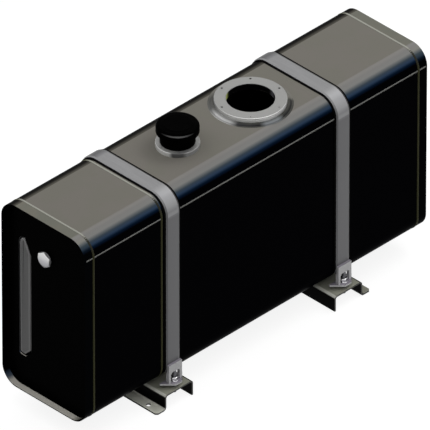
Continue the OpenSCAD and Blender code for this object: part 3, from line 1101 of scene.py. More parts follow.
@dataclass
class Welds:
    """The weld beads: three rings round the tank and a long seam on each side.

    Attributes:
        section: the tank's cross-section.
        ripple: distance between two ripples. Real ones are 1.5 mm apart, drawn coarser here to show.
        bow: how far the ripples bow in the middle of a bead, as a share of that distance.
        swell: how far the bead narrows between two ripples, as a share of its size.
        step: distance between two rings of points along a bead.
        sides: number of chords over a bead.
        shortest: length of the shortest run of a seam, under which the gap between two stops stays bare.
        sharp: angle in degrees over which a bead's edge is shaded sharp.
    """

    section: Section
    ripple: float = 6 * MM
    bow: float = 0.3
    swell: float = 0.14
    step: float = 1.5 * MM
    sides: int = 6
    shortest: float = 12 * MM
    sharp: float = 80.0

    def bead(self, half: float, height: float, along: float) -> Outline:
        """Draws a bead's profile, with its ripples bowed like a stack of coins.

        Args:
            half: half the bead's width.
            height: its height.
            along: distance along the bead.

        Returns:
            How far each point lies across and out from the sheet.
        """
        points = []
        for i in range(self.sides + 1):
            angle = math.pi * i / self.sides
            bowed = along + self.bow * self.ripple * math.sin(angle)
            size = 1 - self.swell + self.swell * math.sin(math.tau * bowed / self.ripple)
            points.append((half * math.cos(angle) * size, height * math.sin(angle) * size))
        return points

    def ring(self, node: str) -> None:
        """Builds a ring of weld round the tank in the place of a CAD ring.

        Args:
            node: the CAD ring.
        """
        low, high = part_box(node)
        half, height = (high.x - low.x) / 2, high.z - self.section.high.z
        count = round(self.section.length / self.step)
        rings = []
        for i in range(count):
            along = self.section.length * i / count
            ring = []
            for across, out in self.bead(half, height, along):
                y, z = self.section.at(along, out)
                ring.append(Vector((across, y, z - self.section.high.z)))
            rings.append(ring)
        origin = Vector(((low.x + high.x) / 2, 0, self.section.high.z))
        fit(skin(f"{node}_bead", rings, origin, loop=True, sharp=self.sharp), RING_WELD, node)

    def seam(self, node: str, out_side: int, runs: Sequence[tuple[float, float]]) -> None:
        """Builds a long seam in runs, in the place of a CAD seam.

        Args:
            node: the CAD seam.
            out_side: -1 on the front and 1 on the back.
            runs: where each run starts and ends along X.
        """
        low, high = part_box(node)
        half, height, middle = (high.z - low.z) / 2, high.y - low.y, (high.z + low.z) / 2
        face = self.section.high.y * out_side
        shape = bmesh.new()
        for start, end in runs:
            count = max(2, round((end - start) / self.step))
            rows = []
            for i in range(count + 1):
                along = (end - start) * i / count
                rows.append([
                    shape.verts.new((start + along, out_side * out, across))
                    for across, out in self.bead(half, height, along)
                ])
            for one, two in zip(rows, rows[1:]):
                for j in range(self.sides):
                    shape.faces.new((one[j], one[j + 1], two[j + 1], two[j]))
                shape.faces.new((one[-1], one[0], two[0], two[-1]))
            shape.faces.new(rows[0])
            shape.faces.new(rows[-1])
        bmesh.ops.recalc_face_normals(shape, faces=shape.faces)
        mesh = bpy.data.meshes.new(node)
        shape.to_mesh(mesh)
        shape.free()
        piece = object_of(f"{node}_bead", mesh, Vector((0, face, middle)), self.sharp)
        fit(piece, SEAM_WELD, node)

    def build(self) -> None:
        """Builds every bead."""
        for node in ("cap_weld_left", "middle_weld", "cap_weld_right"):
            self.ring(node)
        start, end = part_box("seam_front")[0].x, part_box("seam_front")[1].x
        crossed = ("cap_weld_left", "middle_weld", "liner_left", "liner_right", "cap_weld_right")
        edges = [start] + [corner.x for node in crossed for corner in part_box(node)] + [end]
        runs = [(a, b) for a, b in zip(edges[::2], edges[1::2]) if b - a > self.shortest]
        self.seam("seam_front", -1, runs)
        self.seam("seam_back", 1, runs)


@dataclass
class LevelGauge:
    """The level gauge in its pocket: a slim body, slanted at both ends in front and round behind.

    Attributes:
        slant: height over which its upper front edge slants.
        cut: width and height of the slanted edge at its lower front.
        heel: rounding of its lower back corner.
        edge: width of the rounding along its face.
        fall: depth of that rounding.
        steps: number of chords over a rounding.
    """

    slant: float = 44 * MM
    cut: float = 19.5 * MM
    heel: float = 9 * MM
    edge: float = 8 * MM
    fall: float = 2.5 * MM
    steps: int = 5

    def build(self) -> None:
        """Builds the gauge's body."""
        low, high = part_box("level_gauge")
        origin = Vector((low.x, (low.y + high.y) / 2, low.z))
        half, height, depth = (high.y - low.y) / 2, high.z - low.z, high.x - low.x
        outline = [(-half, self.cut), (self.cut - half, 0)]
        outline += arc((half - self.heel, self.heel), self.heel, 270, 360)
        outline += arc((0, height - half), half, 0, 90, self.steps)
        outline.append((-half, height - self.slant))
        rings = [[Vector((depth, y, z)) for y, z in outline]]
        for i in range(self.steps + 1):
            angle = math.pi / 2 * i / self.steps
            back = self.fall * (1 - math.sin(angle))
            rings.append([Vector((back, y, z)) for y, z in inset(outline, self.edge * (1 - math.cos(angle)))])
        fit(skin("level_gauge_body", rings, origin), GAUGE_ENAMEL, "level_gauge")


@dataclass
class LevelPlug:
    """The hexagon plug in the left end cap, on its round boss.

    Attributes:
        chamfer: slope of the hexagon's turned chamfer.
        collar: height of the turned collar under the hexagon, and how far it lies inside the flats.
        dome: rise of the face between the chamfer and its middle.
        circles: radii of the rings that draw the dome, as shares of the chamfer's.
        shank: radius of the plug's shank.
        play: gap between the shank and the boss.
        edge: chamfer of the boss.
        sharp: angle in degrees over which an edge of the plug is shaded sharp.
    """

    chamfer: float = math.radians(30)
    collar: float = 1.5 * MM
    dome: float = 2 * MM
    circles: tuple[float, ...] = (0.95, 0.8, 0.6, 0.4, 0.2, 0.02)
    shank: float = 14 * MM
    play: float = 0.3 * MM
    edge: float = 0.4 * MM
    sharp: float = 25.0

    def build(self) -> None:
        """Builds the boss and the plug."""
        toward_left = Matrix.Rotation(-math.pi / 2, 4, "Y")
        low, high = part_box("plug_boss")
        origin = Vector((high.x, (low.y + high.y) / 2, (low.z + high.z) / 2))
        outer, height = (high.y - low.y) / 2, high.x - low.x
        bore, brim = self.shank + self.play, height - self.edge
        profile = [
            (bore, 0), (outer, 0), (outer, brim), (outer - self.edge, height),
            (bore + self.edge, height), (bore, brim),
        ]
        rings = [[toward_left @ p for p in ring] for ring in turned_rings(profile)]
        fit(skin("level_plug_boss", rings, origin, loop=True), BOSS_STEEL, "plug_boss")

        low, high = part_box("level_plug")
        head, inside, flats = origin.x - low.x, origin.x - high.x, high.y - low.y
        inner, face = flats / 2 - self.collar, head - self.dome
        rings = turned_rings([(self.shank, inside), (self.shank, height)])
        rings += turned_rings([(inner, height), (inner, height + self.collar)])
        rings += hexagon_rings(flats, height + self.collar, face, inner, self.chamfer)
        rings += turned_rings([(inner * r, head - self.dome * r * r) for r in self.circles])
        rings = [[toward_left @ p for p in ring] for ring in rings]
        fit(skin("hexagon_level_plug", rings, origin, sharp=self.sharp), PLUG_ZINC, "level_plug")


@dataclass
class FilterFlange:
    """The open flange for the return filter, with its bolt holes and the flared weld ring under it.

    Attributes:
        holes: number of bolt holes.
        circle: diameter of the circle of bolt holes.
        hole: diameter of a bolt hole.
        first: angle of the first hole.
        bore: diameter of the opening.
        plate: thickness of the upper plate.
        joint: height of the groove under it.
        inset: depth of that groove.
        edge: width of the turned chamfers.
        lip: rounding of the weld ring's outer edge.
        brim: width and drop of the weld ring's soft upper edge.
        shade_band_width: width of the band of sheet round the weld ring that carries painted light and shade.
        coat: thickness of that band.
    """

    holes: int = 6
    circle: float = 180 * MM
    hole: float = 7 * MM
    first: float = math.radians(45)
    bore: float = 134 * MM
    plate: float = 4 * MM
    joint: float = 1 * MM
    inset: float = 2 * MM
    edge: float = 1.2 * MM
    lip: float = 0.75 * MM
    brim: tuple[float, float] = (1 * MM, 0.6 * MM)
    shade_band_width: float = 6 * MM
    coat: float = 0.3 * MM

    def flange(self, origin: Vector, outer: float, top: float) -> None:
        """Builds the flange, with its bolt holes and the groove under its upper plate.

        Args:
            origin: the middle of its underside.
            outer: its outer radius.
            top: its height.
        """
        inner, under = self.bore / 2, top - self.plate
        seat = under - self.joint
        profile = [
            (inner, 0), (outer, 0), (outer, seat - self.edge / 2), (outer - self.edge / 2, seat),
            (outer - self.inset, seat), (outer - self.inset, under), (outer, under), (outer, top - self.edge),
            (outer - self.edge, top), (inner + self.edge, top), (inner, top - self.edge),
        ]
        body = skin("flange", turned_rings(profile, LARGE_ROUND), loop=True)
        angles = [self.first + math.tau * i / self.holes for i in range(self.holes)]
        reach = self.circle / 2
        places = [(reach * math.cos(a), reach * math.sin(a)) for a in angles]
        cutters = [rod(self.hole / 2, -SPARE, top + SPARE, place, steps=24) for place in places]
        body = combine(body, cutters, "DIFFERENCE")
        piece = object_of("filter_flange_turned", body.data, origin)
        bpy.data.objects.remove(body)
        fit(piece, FACED_STEEL, "filter_flange")

        def in_bore(face: bpy.types.MeshPolygon) -> bool:
            """Tells whether a face belongs to the bore's upright side."""
            return face.center.xy.length < inner + CLOSE and abs(face.normal.z) < HALF_UP

        # The bore's upright side gets painted shade and painted reflections.
        coat_faces(piece, BORE_STEEL, in_bore)

    def flare(self, origin: Vector, inner: float) -> None:
        """Builds the flared weld ring under the flange, and round it a thin band of sheet that carries
        painted shade and a painted reflection.

        Args:
            origin: the middle of the flange's underside.
            inner: the ring's inner radius.
        """
        low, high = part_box("flange_weld")
        outer, top = (high.x - low.x) / 2, high.z - low.z
        width, drop = self.brim
        profile = [(inner, 0), (outer, 0)]
        profile += arc((outer - self.lip, self.lip), self.lip, 0, 60, 3)
        profile += [(outer - top + drop, top - drop), (outer - top - width, top), (inner, top)]
        rings = turned_rings(profile, LARGE_ROUND)
        fit(skin("flange_flare", rings, origin, loop=True), FLARE_STEEL, "flange_weld")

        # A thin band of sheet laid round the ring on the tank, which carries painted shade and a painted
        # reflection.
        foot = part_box("shell_right")[1].z - origin.z
        start, end, coated = outer - self.coat, outer + self.shade_band_width, foot + self.coat
        profile = [(start, foot), (end, foot), (end - self.coat, coated), (start, coated)]
        rings = turned_rings(profile, LARGE_ROUND)
        fit(skin("flange_painted_shade_band", rings, origin, loop=True), FLARE_STEEL)

    def build(self) -> None:
        """Builds the flange, its weld ring and the painted shade band round that."""
        low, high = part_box("filter_flange")
        origin, outer = underside("filter_flange"), (high.x - low.x) / 2
        self.flange(origin, outer, high.z - low.z)
        self.flare(origin, outer)


@dataclass
class Filler:
    """The filler: a turned neck ring on the tank and a moulded cap of body and crown.

    Attributes:
        tube: outer radius of the tube under the neck ring.
        wall: thickness of that tube.
        edge: chamfer of the neck ring.
        bevel: width over which that chamfer is softened.
        skirt: rounding of the cap body's lower edge.
        groove: depth of the groove at the cap body's top, and height of its sloped edge.
        groove_height: height of that groove, from the top of its sloped edge.
        rim: rounding of the crown's upper edge.
        lip: rounding of its lower edge.
        land: height left plain between a flute and a rounding.
        flutes: number of finger flutes round the crown.
        flute: depth of a flute.
        run_out: height over which a flute runs out, at its lower and its upper end.
        disc: radius of the raised disc on the crown's top.
        rise: height of that disc.
        hub: radius of the flat at its middle.
        steps: number of points round the crown, a multiple of the flutes.
    """

    tube: float = 38 * MM
    wall: float = 3 * MM
    edge: float = 1.5 * MM
    bevel: float = 0.5 * MM
    skirt: float = 1.5 * MM
    groove: float = 1 * MM
    groove_height: float = 5 * MM
    rim: float = 10 * MM
    lip: float = 7 * MM
    land: float = 1 * MM
    flutes: int = 24
    flute: float = 0.9 * MM
    run_out: tuple[float, float] = (14 * MM, 3 * MM)
    disc: float = 40 * MM
    rise: float = 1 * MM
    hub: float = 0.5 * MM
    steps: int = 192

    def neck(self) -> None:
        """Builds the neck ring."""
        low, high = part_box("filler_neck")
        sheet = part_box("shell_right")[1].z
        origin = Vector(((low.x + high.x) / 2, 0, sheet))
        outer, top, bottom = (high.x - low.x) / 2, high.z - sheet, low.z - sheet
        bore, soft = self.tube - self.wall, self.bevel
        profile = [
            (bore, bottom), (bore, top - soft), (bore + soft, top), (outer - self.edge - soft, top),
            (outer - self.edge + soft / 2, top - soft / 2), (outer - soft / 2, top - self.edge + soft / 2),
            (outer, top - self.edge - soft), (outer, 0), (self.tube, 0), (self.tube, bottom),
        ]
        rings = turned_rings(profile, LARGE_ROUND)
        fit(skin("filler_neck_ring", rings, origin, loop=True), NECK_STEEL, "filler_neck")

    def body(self) -> None:
        """Builds the cap's lower body, with a groove under the crown."""
        low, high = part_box("filler_cap_body")
        origin = Vector(((low.x + high.x) / 2, 0, low.z))
        outer, top = (high.x - low.x) / 2, high.z - low.z
        inner, deep = outer - self.groove, top - self.groove_height
        profile = [(outer - self.skirt, 0)]
        profile += arc((outer - self.skirt, self.skirt), self.skirt, -90, 0, 4)
        profile += [(outer, deep - self.groove), (inner, deep), (inner, top)]
        rings = turned_rings(profile, LARGE_ROUND)
        fit(skin("filler_cap_skirt", rings, origin), CAP_NYLON, "filler_cap_body")

    def crown(self) -> None:
        """Builds the cap's crown, with finger flutes, a round rim and a raised disc on top."""
        low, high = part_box("filler_cap_crown")
        origin = Vector(((low.x + high.x) / 2, 0, low.z))
        outer, top = (high.x - low.x) / 2, high.z - low.z
        shoulder = top - self.rise
        start, end = self.lip + self.land, shoulder - self.rim - self.land

        def fluted(angle: float, radius: float, height: float) -> float:
            """Takes the flutes out of the crown's side, run out at both ends.

            Args:
                angle: the point's angle.
                radius: its radius.
                height: its height.

            Returns:
                Its radius with the flutes.
            """
            if radius < outer - CLOSE or not start <= height <= end:
                return radius
            run = min(1.0, (height - start) / self.run_out[0], (end - height) / self.run_out[1])
            wave = max(0.0, math.cos(self.flutes * angle))
            return radius - self.flute * math.sqrt(wave) * run

        chords, slope = 12, 0.7 * self.rise
        profile = [(outer - self.lip, 0)] + arc((outer - self.lip, self.lip), self.lip, -90, 0, 4)
        profile += [(outer, start + (end - start) * i / chords) for i in range(chords + 1)]
        profile += arc((outer - self.rim, shoulder - self.rim), self.rim, 0, 90, 10)
        profile += [(self.disc + slope, shoulder), (self.disc, top - slope), (self.disc - slope, top)]
        profile += [(self.hub, top)]
        rings = turned_rings(profile, self.steps, fluted)
        fit(skin("filler_cap_grip", rings, origin), CAP_NYLON, "filler_cap_crown")

    def build(self) -> None:
        """Builds the filler."""
        self.neck()
        self.body()
        self.crown()


# ---------------------------------------------------------------------------------------------------------
# Straps and feet
# ---------------------------------------------------------------------------------------------------------


@dataclass
class Straps:
    """The two steel straps over the tank and the rubber liners under them.

    Attributes:
        section: the tank's cross-section.
        slope: width of the rolled edge on each side of a strap.
        fall: how far the strap thins out over that edge.
        blend: width over which the rolled edge runs into the level middle.
        dip: how far it lies under that middle where the blend starts.
        edge: width of the strap's narrow edge.
        lip: rounding of a liner's upper edge.
        step: distance between two rings of points along a strap.
        sharp: angle in degrees over which an edge is shaded sharp.
    """

    section: Section
    slope: float = 5 * MM
    fall: float = 2 * MM
    blend: float = 1 * MM
    dip: float = 0.05 * MM
    edge: float = 0.4 * MM
    lip: float = 0.8 * MM
    step: float = 8 * MM
    sharp: float = 15.0

    def over(self, name: str, node: str, profile: Outline, finish: Finish) -> None:
        """Sweeps a profile up the front, over the top and down the back.

        Args:
            name: the piece's name.
            node: the CAD node in whose place it goes.
            profile: how far each point lies along X and out from the tank.
            finish: its finish.
        """
        low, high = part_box(node)
        origin = Vector(((low.x + high.x) / 2, 0, self.section.high.z))
        turn = math.pi / 2 * self.section.corner
        reach = self.section.flat + turn + self.section.high.z - self.section.corner - low.z
        count = round(2 * reach / self.step)
        rings = []
        for i in range(count + 1):
            along = -reach + 2 * reach * i / count
            ring = []
            for across, out in profile:
                y, z = self.section.at(along, out)
                ring.append(Vector((across, y, z - origin.z)))
            rings.append(ring)
        fit(skin(name, rings, origin, sharp=self.sharp), finish, node)

    def build(self) -> None:
        """Builds both straps and both liners."""
        for side in Side:
            word = side.name.lower()
            liner, strap = f"liner_{word}", f"strap_{word}"
            low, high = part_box(liner)
            half, rubber = (high.x - low.x) / 2, high.z - self.section.high.z
            profile = [(half, 0)] + arc((half - self.lip, rubber - self.lip), self.lip, 0, 90, 3)
            profile += [(-x, z) for x, z in reversed(profile)]
            self.over(f"rubber_{liner}", liner, profile, RUBBER)

            low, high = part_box(strap)
            half, steel = (high.x - low.x) / 2, high.z - self.section.high.z
            shoulder, level = steel - self.fall, half - self.slope
            profile = [(half, rubber + self.edge), (half, shoulder - self.edge), (half - self.edge, shoulder)]
            profile += [(level, steel - self.dip), (level - self.blend, steel)]
            profile += [(-x, z) for x, z in reversed(profile)]
            profile = [(half - self.edge, rubber)] + profile + [(self.edge - half, rubber)]
            self.over(f"steel_{strap}", strap, profile, STRAP_STRIP)


@dataclass
class Feet:
    """The four feet: a shoe on each strap end, its stud, and the nuts over and under the rail.

    Attributes:
        plate: thickness of the foot plate.
        under: how far the plate reaches in under the tank.
        block: how far the doubled block stands out from the tank's side.
        slot: width of the slot that shows the nut.
        slot_corner: radius of the slot's upper corners.
        cut: cut of the plate's front corners.
        hole: diameter of the plate's stud hole.
        soften: width of the bevel along a shoe's edges.
        pitch: pitch of the M12 thread.
        rows: rings of points along one turn of the thread.
        facets: points round the thread.
        thread: depth of the thread.
        stud: diameter of the stud.
        play: gap between the stud and a nut.
        flats: width of a nut over its flats.
        chamfer: slope of a nut's turned chamfer.
        shoulder: how far that chamfer starts inside the flats.
        countersink: width and depth of the chamfer round a nut's hole.
        turn: turn of the upper nuts, in degrees.
        washer: diameter of the washer.
        washer_thickness: thickness of the washer.
        washer_edge: chamfer of the washer.
        soft: angle in degrees over which an edge of the thread is shaded sharp.
        sharp: the same for a nut.
    """

    plate: float = 5 * MM
    under: float = 6 * MM
    block: float = 14 * MM
    slot: float = 34 * MM
    slot_corner: float = 8 * MM
    cut: float = 30 * MM
    hole: float = 13 * MM
    soften: float = 0.9 * MM
    pitch: float = 1.75 * MM
    rows: int = 6
    facets: int = 24
    thread: float = 0.9 * MM
    stud: float = 12 * MM
    play: float = 0.1 * MM
    flats: float = 19 * MM
    chamfer: float = math.radians(30)
    shoulder: float = 0.3 * MM
    countersink: float = 1 * MM
    turn: float = 15.0
    washer: float = 24 * MM
    washer_thickness: float = 2.5 * MM
    washer_edge: float = 0.4 * MM
    soft: float = 80.0
    sharp: float = 25.0

    def shoe(self, corner: Corner) -> None:
        """Builds a shoe: a doubled block with a slot, two legs and a foot plate.

        Args:
            corner: the foot that it belongs to.
        """
        word = corner.name.lower()
        side = Side(corner.value[0]).name.lower()
        low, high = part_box(f"shoe_{word}")
        strap_low, strap_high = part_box(f"strap_{side}")
        liner_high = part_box(f"liner_{side}")[1].y
        tank_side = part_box("shell_left")[1].y
        middle, half = (low.x + high.x) / 2, (strap_high.x - strap_low.x) / 2
        outer = high.y if corner.value[1] > 0 else -low.y
        top, base, leg_top = high.z - low.z, self.plate / 2, strap_low.z - low.z
        rubber, steel = liner_high - tank_side, strap_high.y - tank_side
        gap, r = self.slot / 2, self.slot_corner
        front = [(-half, base), (-half, top), (half, top), (half, base), (gap, base)]
        front += arc((gap - r, leg_top - r), r, 0, 90, 5) + arc((r - gap, leg_top - r), r, 90, 180, 5)
        front += [(-gap, base)]
        upright = Matrix.Rotation(math.pi / 2, 4, "X")
        block = prism(front, steel, self.block, upright)
        legs = [
            prism([(x0, base), (x1, base), (x1, leg_top), (x0, leg_top)], rubber, steel + SPARE, upright)
            for x0, x1 in ((-half, -gap), (gap, half))
        ]
        reach, wide = outer - tank_side, (high.x - low.x) / 2
        plate = prism(
            [
                (-wide, self.under), (-wide, self.cut - reach), (self.cut - wide, -reach),
                (wide - self.cut, -reach), (wide, self.cut - reach), (wide, self.under),
            ],
            0, self.plate,
        )
        body = combine(plate, [block, *legs], "UNION")
        stud_low, stud_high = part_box(f"stud_{word}")
        stud_out = abs((stud_low.y + stud_high.y) / 2) - tank_side
        hole = rod(self.hole / 2, -SPARE, self.plate + SPARE, (0, -stud_out))
        body = combine(body, [hole], "DIFFERENCE")
        origin = Vector((middle, corner.value[1] * tank_side, low.z))
        mirror = Matrix.Scale(-corner.value[1], 4, (0, 1, 0))
        piece = as_piece(f"strap_shoe_{word}", body, origin, self.soften, mirror)
        fit(piece, SHOE_STRIP, f"shoe_{word}")

    def threaded_stud(self, node: str) -> None:
        """Builds a threaded stud with turned-down ends.

        Args:
            node: the CAD stud.
        """
        low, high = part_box(node)
        length = high.z - low.z

        def threaded(angle: float, radius: float, height: float) -> float:
            """Cuts the thread's groove.

            Args:
                angle: the point's angle.
                radius: its radius.
                height: its height.

            Returns:
                Its radius in the thread.
            """
            phase = (height / self.pitch - angle / math.tau) % 1.0
            groove = self.thread * (1 - abs(2 * phase - 1))
            end = max(0.0, min(height, length - height))
            return min(radius - groove, radius - self.thread + end)

        rows = round(length / self.pitch * self.rows)
        profile = [(self.stud / 2, length * i / rows) for i in range(rows + 1)]
        rings = turned_rings(profile, self.facets, threaded)
        fit(skin(f"threaded_{node}", rings, underside(node), sharp=self.soft), THREAD_STEEL, node)

    def nut(self, node: str, stud: str, has_washer: bool) -> None:
        """Builds a nut on its stud, with or without a washer under it.

        Args:
            node: the CAD nut.
            stud: the CAD stud that it is screwed on.
            has_washer: whether it lies on a washer. If so, it is turned a little too.
        """
        low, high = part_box(node)
        top, bore = high.z - low.z, self.stud / 2 + self.play
        rings = []
        if has_washer:
            base, edge, wide = self.washer_thickness, self.washer_edge, self.washer / 2
            rings += turned_rings(
                [(bore, 0), (wide - edge, 0), (wide, edge), (wide, base - edge), (wide - edge, base)]
            )
        else:
            base = 0.0
        inner = self.flats / 2 - self.shoulder
        rings += hexagon_rings(self.flats, base, top, inner, self.chamfer, both=True)
        rings += turned_rings([(bore + self.countersink, top), (bore, top - self.countersink)])
        if not has_washer:
            rings += turned_rings([(bore, 0)])
        turn = Matrix.Rotation(math.radians(self.turn if has_washer else 0), 4, "Z")
        rings = [[turn @ p for p in ring] for ring in rings]
        origin = underside(stud)
        origin.z = low.z
        fit(skin(f"hexagon_{node}", rings, origin, loop=True, sharp=self.sharp), ZINC, node)

    def build(self) -> None:
        """Builds the four feet."""
        for corner in Corner:
            word = corner.name.lower()
            stud = f"stud_{word}"
            self.shoe(corner)
            self.threaded_stud(stud)
            self.nut(f"nut_{word}", stud, True)
            self.nut(f"lock_nut_{word}", stud, False)


@dataclass
class Rails:
    """The two bent rails under the tank and the rubber pads on them.

    Attributes:
        plate: thickness of the rail's plate.
        bend: outer radius of its bends.
        flange: width of the bottom flange outside the web.
        cut: cut of the flange's corners.
        bolt: diameter of the base bolt holes.
        bolt_gap: distance between the two base bolts of a rail.
        bolt_out: distance of the base bolts from the rail's middle.
        stud_hole: diameter of the stud holes.
        lit_foot_rise: how far the left rail foot's paler painted light reaches up its bend.
        edge: chamfer of the inner web's lower edges.
        soften: width of the bevel along a rail's edges.
        grooves: number of grooves in a pad's height.
        groove: depth of such a groove.
        groove_steps: chords over one groove.
        pad_soften: width of the bevel along a pad's edges.
    """

    plate: float = 5 * MM
    bend: float = 11 * MM
    flange: float = 32.5 * MM
    cut: float = 6 * MM
    bolt: float = 13 * MM
    bolt_gap: float = 280 * MM
    bolt_out: float = 70 * MM
    stud_hole: float = 13 * MM
    lit_foot_rise: float = 1 * MM
    edge: float = 0.5 * MM
    soften: float = 0.5 * MM
    grooves: int = 5
    groove: float = 1 * MM
    groove_steps: int = 4
    pad_soften: float = 0.6 * MM

    def profile(self, half: float, height: float) -> Outline:
        """Draws the left rail's cross-section: a bent top, two webs and a flange on the outside.

        Args:
            half: half the width over the two webs.
            height: the rail's height.

        Returns:
            The outline in X and Z.
        """
        t, r, lip = self.plate, self.bend, self.edge
        inner = r - t
        points = [(-half - self.flange, 0), (-half - self.flange, t)]
        points += arc((-half - inner, t + inner), inner, -90, 0)
        points += arc((-half + r, height - r), r, 180, 90)
        points += arc((half - r, height - r), r, 90, 0)
        points += [(half, lip), (half - lip, 0), (half - t + lip, 0), (half - t, lip)]
        points += arc((half - r, height - r), inner, 0, 90)
        points += arc((-half + r, height - r), inner, 90, 180)
        points += arc((-half + t - r, r), r, 0, -90)
        return points

    def rail(self, side: Side) -> None:
        """Builds one rail, under the middle of its strap.

        Args:
            side: the side that it stands on.
        """
        word = side.name.lower()
        low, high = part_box(f"rail_{word}")
        strap_low, strap_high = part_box(f"strap_{word}")
        length, half = high.y - low.y, (high.x - low.x - self.flange) / 2
        upright = Matrix.Rotation(math.pi / 2, 4, "X")
        body = prism(self.profile(half, high.z), -length / 2, length / 2, upright)
        stud_low, stud_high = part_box("stud_front_left")
        stud_out, corner_x = abs(stud_low.y + stud_high.y) / 2, -half - self.flange
        foot, reach = (-SPARE, self.plate + SPARE), self.cut + SPARE
        cutters = []
        for end in (-1, 1):
            corner_y = end * length / 2
            cutters.append(rod(self.bolt / 2, *foot, (-self.bolt_out, end * self.bolt_gap / 2)))
            cutters.append(rod(self.stud_hole / 2, high.z / 2, high.z + SPARE, (0, end * stud_out)))
            outline = [
                (corner_x - SPARE, corner_y + end * SPARE), (corner_x + reach, corner_y + end * SPARE),
                (corner_x - SPARE, corner_y - end * reach),
            ]
            cutters.append(prism(outline, *foot))
        body = combine(body, cutters, "DIFFERENCE")
        mirror = Matrix.Scale(-side.value, 4, (1, 0, 0))
        origin = Vector(((strap_low.x + strap_high.x) / 2, 0, 0))
        piece = as_piece(f"bracket_rail_{word}", body, origin, self.soften, mirror)
        fit(piece, RAIL_ENAMEL, f"rail_{word}")

        def on_foot(face: bpy.types.MeshPolygon) -> bool:
            """Tells whether a face belongs to the upper side of the rail's foot."""
            return face.center.z < self.plate + self.lit_foot_rise and face.normal.z > HALF_UP

        # The left rail's foot gets paler painted light, which cancels the tank's shadow on it.
        if side is Side.LEFT:
            coat_faces(piece, FOOT_ENAMEL, on_foot)

    def pad(self, side: Side) -> None:
        """Builds one rubber pad, with shallow grooves along its upright sides.

        Args:
            side: the rail that it lies on.
        """
        node = f"pad_{side.name.lower()}"
        low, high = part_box(node)
        half, length, height = (high.x - low.x) / 2, high.y - low.y, high.z - low.z
        steps = self.grooves * self.groove_steps
        edge = []
        for i in range(steps + 1):
            share = i / steps
            dip = self.groove * (1 - math.cos(math.tau * self.grooves * share)) / 2
            edge.append((half - dip, height * share))
        outline = edge + [(-x, z) for x, z in reversed(edge)]
        body = prism(outline, -length / 2, length / 2, Matrix.Rotation(math.pi / 2, 4, "X"))
        fit(as_piece(f"rubber_{node}", body, underside(node), self.pad_soften), RUBBER, node)

    def build(self) -> None:
        """Builds both rails and both pads."""
        for side in Side:
            self.rail(side)
            self.pad(side)


# ---------------------------------------------------------------------------------------------------------
# Studio
# ---------------------------------------------------------------------------------------------------------


@dataclass
class Softbox:
    """A rectangular light that looks at the tank.

    Attributes:
        name: the light's name.
        place: where it hangs.
        width: its width.
        depth: its depth.
        radiance: how bright its surface is, where 1 is white.
    """

    name: str
    place: Vector
    width: float
    depth: float
    radiance: float

    def build(self, aim: Vector) -> None:
        """Hangs the light so that it faces a point.

        Args:
            aim: that point.
        """
        light = bpy.data.lights.new(self.name, "AREA")
        light.shape, light.size, light.size_y = "RECTANGLE", self.width, self.depth
        light.energy = self.radiance * self.width * self.depth * math.pi
        lamp = bpy.data.objects.new(self.name, light)
        lamp.location = self.place
        lamp.rotation_mode = "QUATERNION"
        lamp.rotation_quaternion = (aim - self.place).to_track_quat("-Z", "Y")
        lamp.visible_camera = False
        bpy.context.scene.collection.objects.link(lamp)


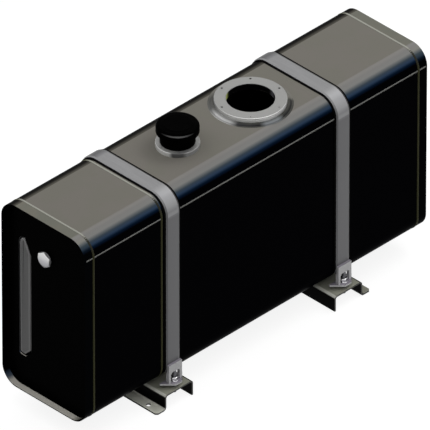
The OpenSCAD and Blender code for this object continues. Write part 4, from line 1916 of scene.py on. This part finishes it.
@dataclass
class Studio:
    """Floor, world, lights and camera.

    Attributes:
        azimuth: the camera's turn from the front, in degrees.
        elevation: its height over the horizon, in degrees.
        lens: its focal length in mm, long enough for parallel edges to stay parallel.
        sensor: width of its sensor in mm.
        across: width of the view at the tank.
        aim: the point in the middle of the view, from the middle of the tank.
        fill: the world's light.
        softboxes: the lights.
        floor_size: width of the floor.
        floor_grey: grey of the floor's cloth about the tank, which takes the shadow.
        floor_glow: the cloth's grey and the floor's glow together, over 1 so that only the shadow shows.
        floor_fade: distances from the middle between which the floor turns to plain white.
    """

    azimuth: float = -45.0
    elevation: float = math.degrees(math.atan(1 / math.sqrt(2)))
    lens: float = 1700.0
    sensor: float = 36.0
    across: float = 1.16658
    aim: Vector = field(default_factory=lambda: Vector((-1.1 * MM, 0.0, -3.3 * MM)))
    fill: float = 0.15
    softboxes: tuple[Softbox, ...] = (
        Softbox("overhead", place=Vector((0.0, 0.0, 3.4)), width=9.0, depth=9.0, radiance=1.0),
        Softbox("key", place=Vector((3.5, -0.6, 5.2)), width=3.2, depth=1.6, radiance=3.5),
    )
    floor_size: float = 30.0
    floor_grey: float = 0.25
    floor_glow: float = 1.12
    floor_fade: tuple[float, float] = (0.8, 2.2)

    def seen(self, tree: bpy.types.NodeTree) -> bpy.types.NodeSocket:
        """Gives 1 for rays that show the background: from the camera, in a mirror or through glass.

        Args:
            tree: the material's or the world's node tree.

        Returns:
            1 for those rays and 0 for others.
        """
        rays = add_node(tree, "LightPath").outputs
        either = add_node(
            tree, "Math", {0: rays["Is Camera Ray"], 1: rays["Is Glossy Ray"]}, operation="MAXIMUM"
        ).outputs[0]
        return add_node(
            tree, "Math", {0: either, 1: rays["Is Transmission Ray"]}, operation="MAXIMUM"
        ).outputs[0]

    def world(self) -> None:
        """Makes a white surround that lights the tank softly."""
        world = bpy.data.worlds.new("white surround")
        world.use_nodes = True
        tree = world.node_tree
        strength = add_node(
            tree, "MapRange", {"Value": self.seen(tree), "To Min": self.fill, "To Max": 1.0}
        ).outputs[0]
        background = tree.nodes["Background"]
        background.inputs["Color"].default_value = (1.0, 1.0, 1.0, 1.0)
        tree.links.new(strength, background.inputs["Strength"])
        bpy.context.scene.world = world

    def floor(self) -> None:
        """Lays a pale floor that keeps the tank's shadow and runs out to white."""
        half = self.floor_size / 2
        mesh = bpy.data.meshes.new("floor")
        mesh.from_pydata(
            [(-half, -half, 0), (half, -half, 0), (half, half, 0), (-half, half, 0)], [], [(0, 1, 2, 3)]
        )
        floor = bpy.data.objects.new("floor", mesh)
        bpy.context.scene.collection.objects.link(floor)
        material = bpy.data.materials.new("pale floor")
        material.use_nodes = True
        tree = material.node_tree
        tree.nodes.remove(tree.nodes["Principled BSDF"])
        place = add_node(tree, "TexCoord").outputs["Object"]
        reach = add_node(tree, "VectorMath", {0: place}, operation="LENGTH").outputs["Value"]
        start, end = self.floor_fade
        away = add_node(
            tree,
            "MapRange",
            {"Value": reach, "From Min": start, "From Max": end},
            interpolation_type="SMOOTHSTEP",
        ).outputs[0]
        near = add_node(
            tree, "MapRange", {"Value": away, "To Min": self.floor_grey, "To Max": 0.0}
        ).outputs[0]
        grey = add_node(tree, "CombineColor", {0: near, 1: near, 2: near}).outputs[0]
        cloth = add_node(tree, "BsdfDiffuse", {"Color": grey}).outputs[0]
        glow_near = self.floor_glow - self.floor_grey
        lift = add_node(tree, "MapRange", {"Value": away, "To Min": glow_near, "To Max": 1.0}).outputs[0]
        shown = add_node(tree, "Math", {0: lift, 1: self.seen(tree)}, operation="MULTIPLY").outputs[0]
        glow = add_node(tree, "Emission", {"Strength": shown}).outputs[0]
        both = add_node(tree, "AddShader", {0: cloth, 1: glow}).outputs[0]
        tree.links.new(both, tree.nodes["Material Output"].inputs["Surface"])
        mesh.materials.append(material)

    def camera(self, middle: Vector) -> None:
        """Sets the camera far off, looking down on the tank's left end and front.

        Args:
            middle: the middle of the tank.
        """
        data = bpy.data.cameras.new("camera")
        data.lens, data.sensor_width = self.lens, self.sensor
        distance = self.across * self.lens / data.sensor_width
        data.clip_end = 2 * distance
        turn, rise = math.radians(self.azimuth), math.radians(self.elevation)
        back = Vector((math.sin(turn) * math.cos(rise), -math.cos(turn) * math.cos(rise), math.sin(rise)))
        camera = bpy.data.objects.new("camera", data)
        camera.rotation_mode = "QUATERNION"
        camera.location = middle + self.aim + back * distance
        camera.rotation_quaternion = (-back).to_track_quat("-Z", "Y")
        bpy.context.scene.collection.objects.link(camera)
        bpy.context.scene.camera = camera

    def build(self, middle: Vector) -> None:
        """Builds the studio about the middle of the tank.

        Args:
            middle: the middle of the tank.
        """
        self.world()
        self.floor()
        self.camera(middle)
        for softbox in self.softboxes:
            softbox.build(middle)
        bpy.context.scene.view_settings.view_transform = "Standard"
        LOG.info("studio set for a view at azimuth %.1f, elevation %.1f", self.azimuth, self.elevation)


def main() -> None:
    """Builds the tank's pieces and the studio round them."""
    logging.basicConfig(level=logging.INFO, format="%(name)s: %(message)s")
    section = Section()
    assemblies = (
        TankBody(), Welds(section), LevelGauge(), LevelPlug(), FilterFlange(), Filler(),
        Straps(section), Feet(), Rails(),
    )
    for assembly in assemblies:
        assembly.build()
    Studio().build((section.low + section.high) / 2)


if __name__ == "__main__":
    main()
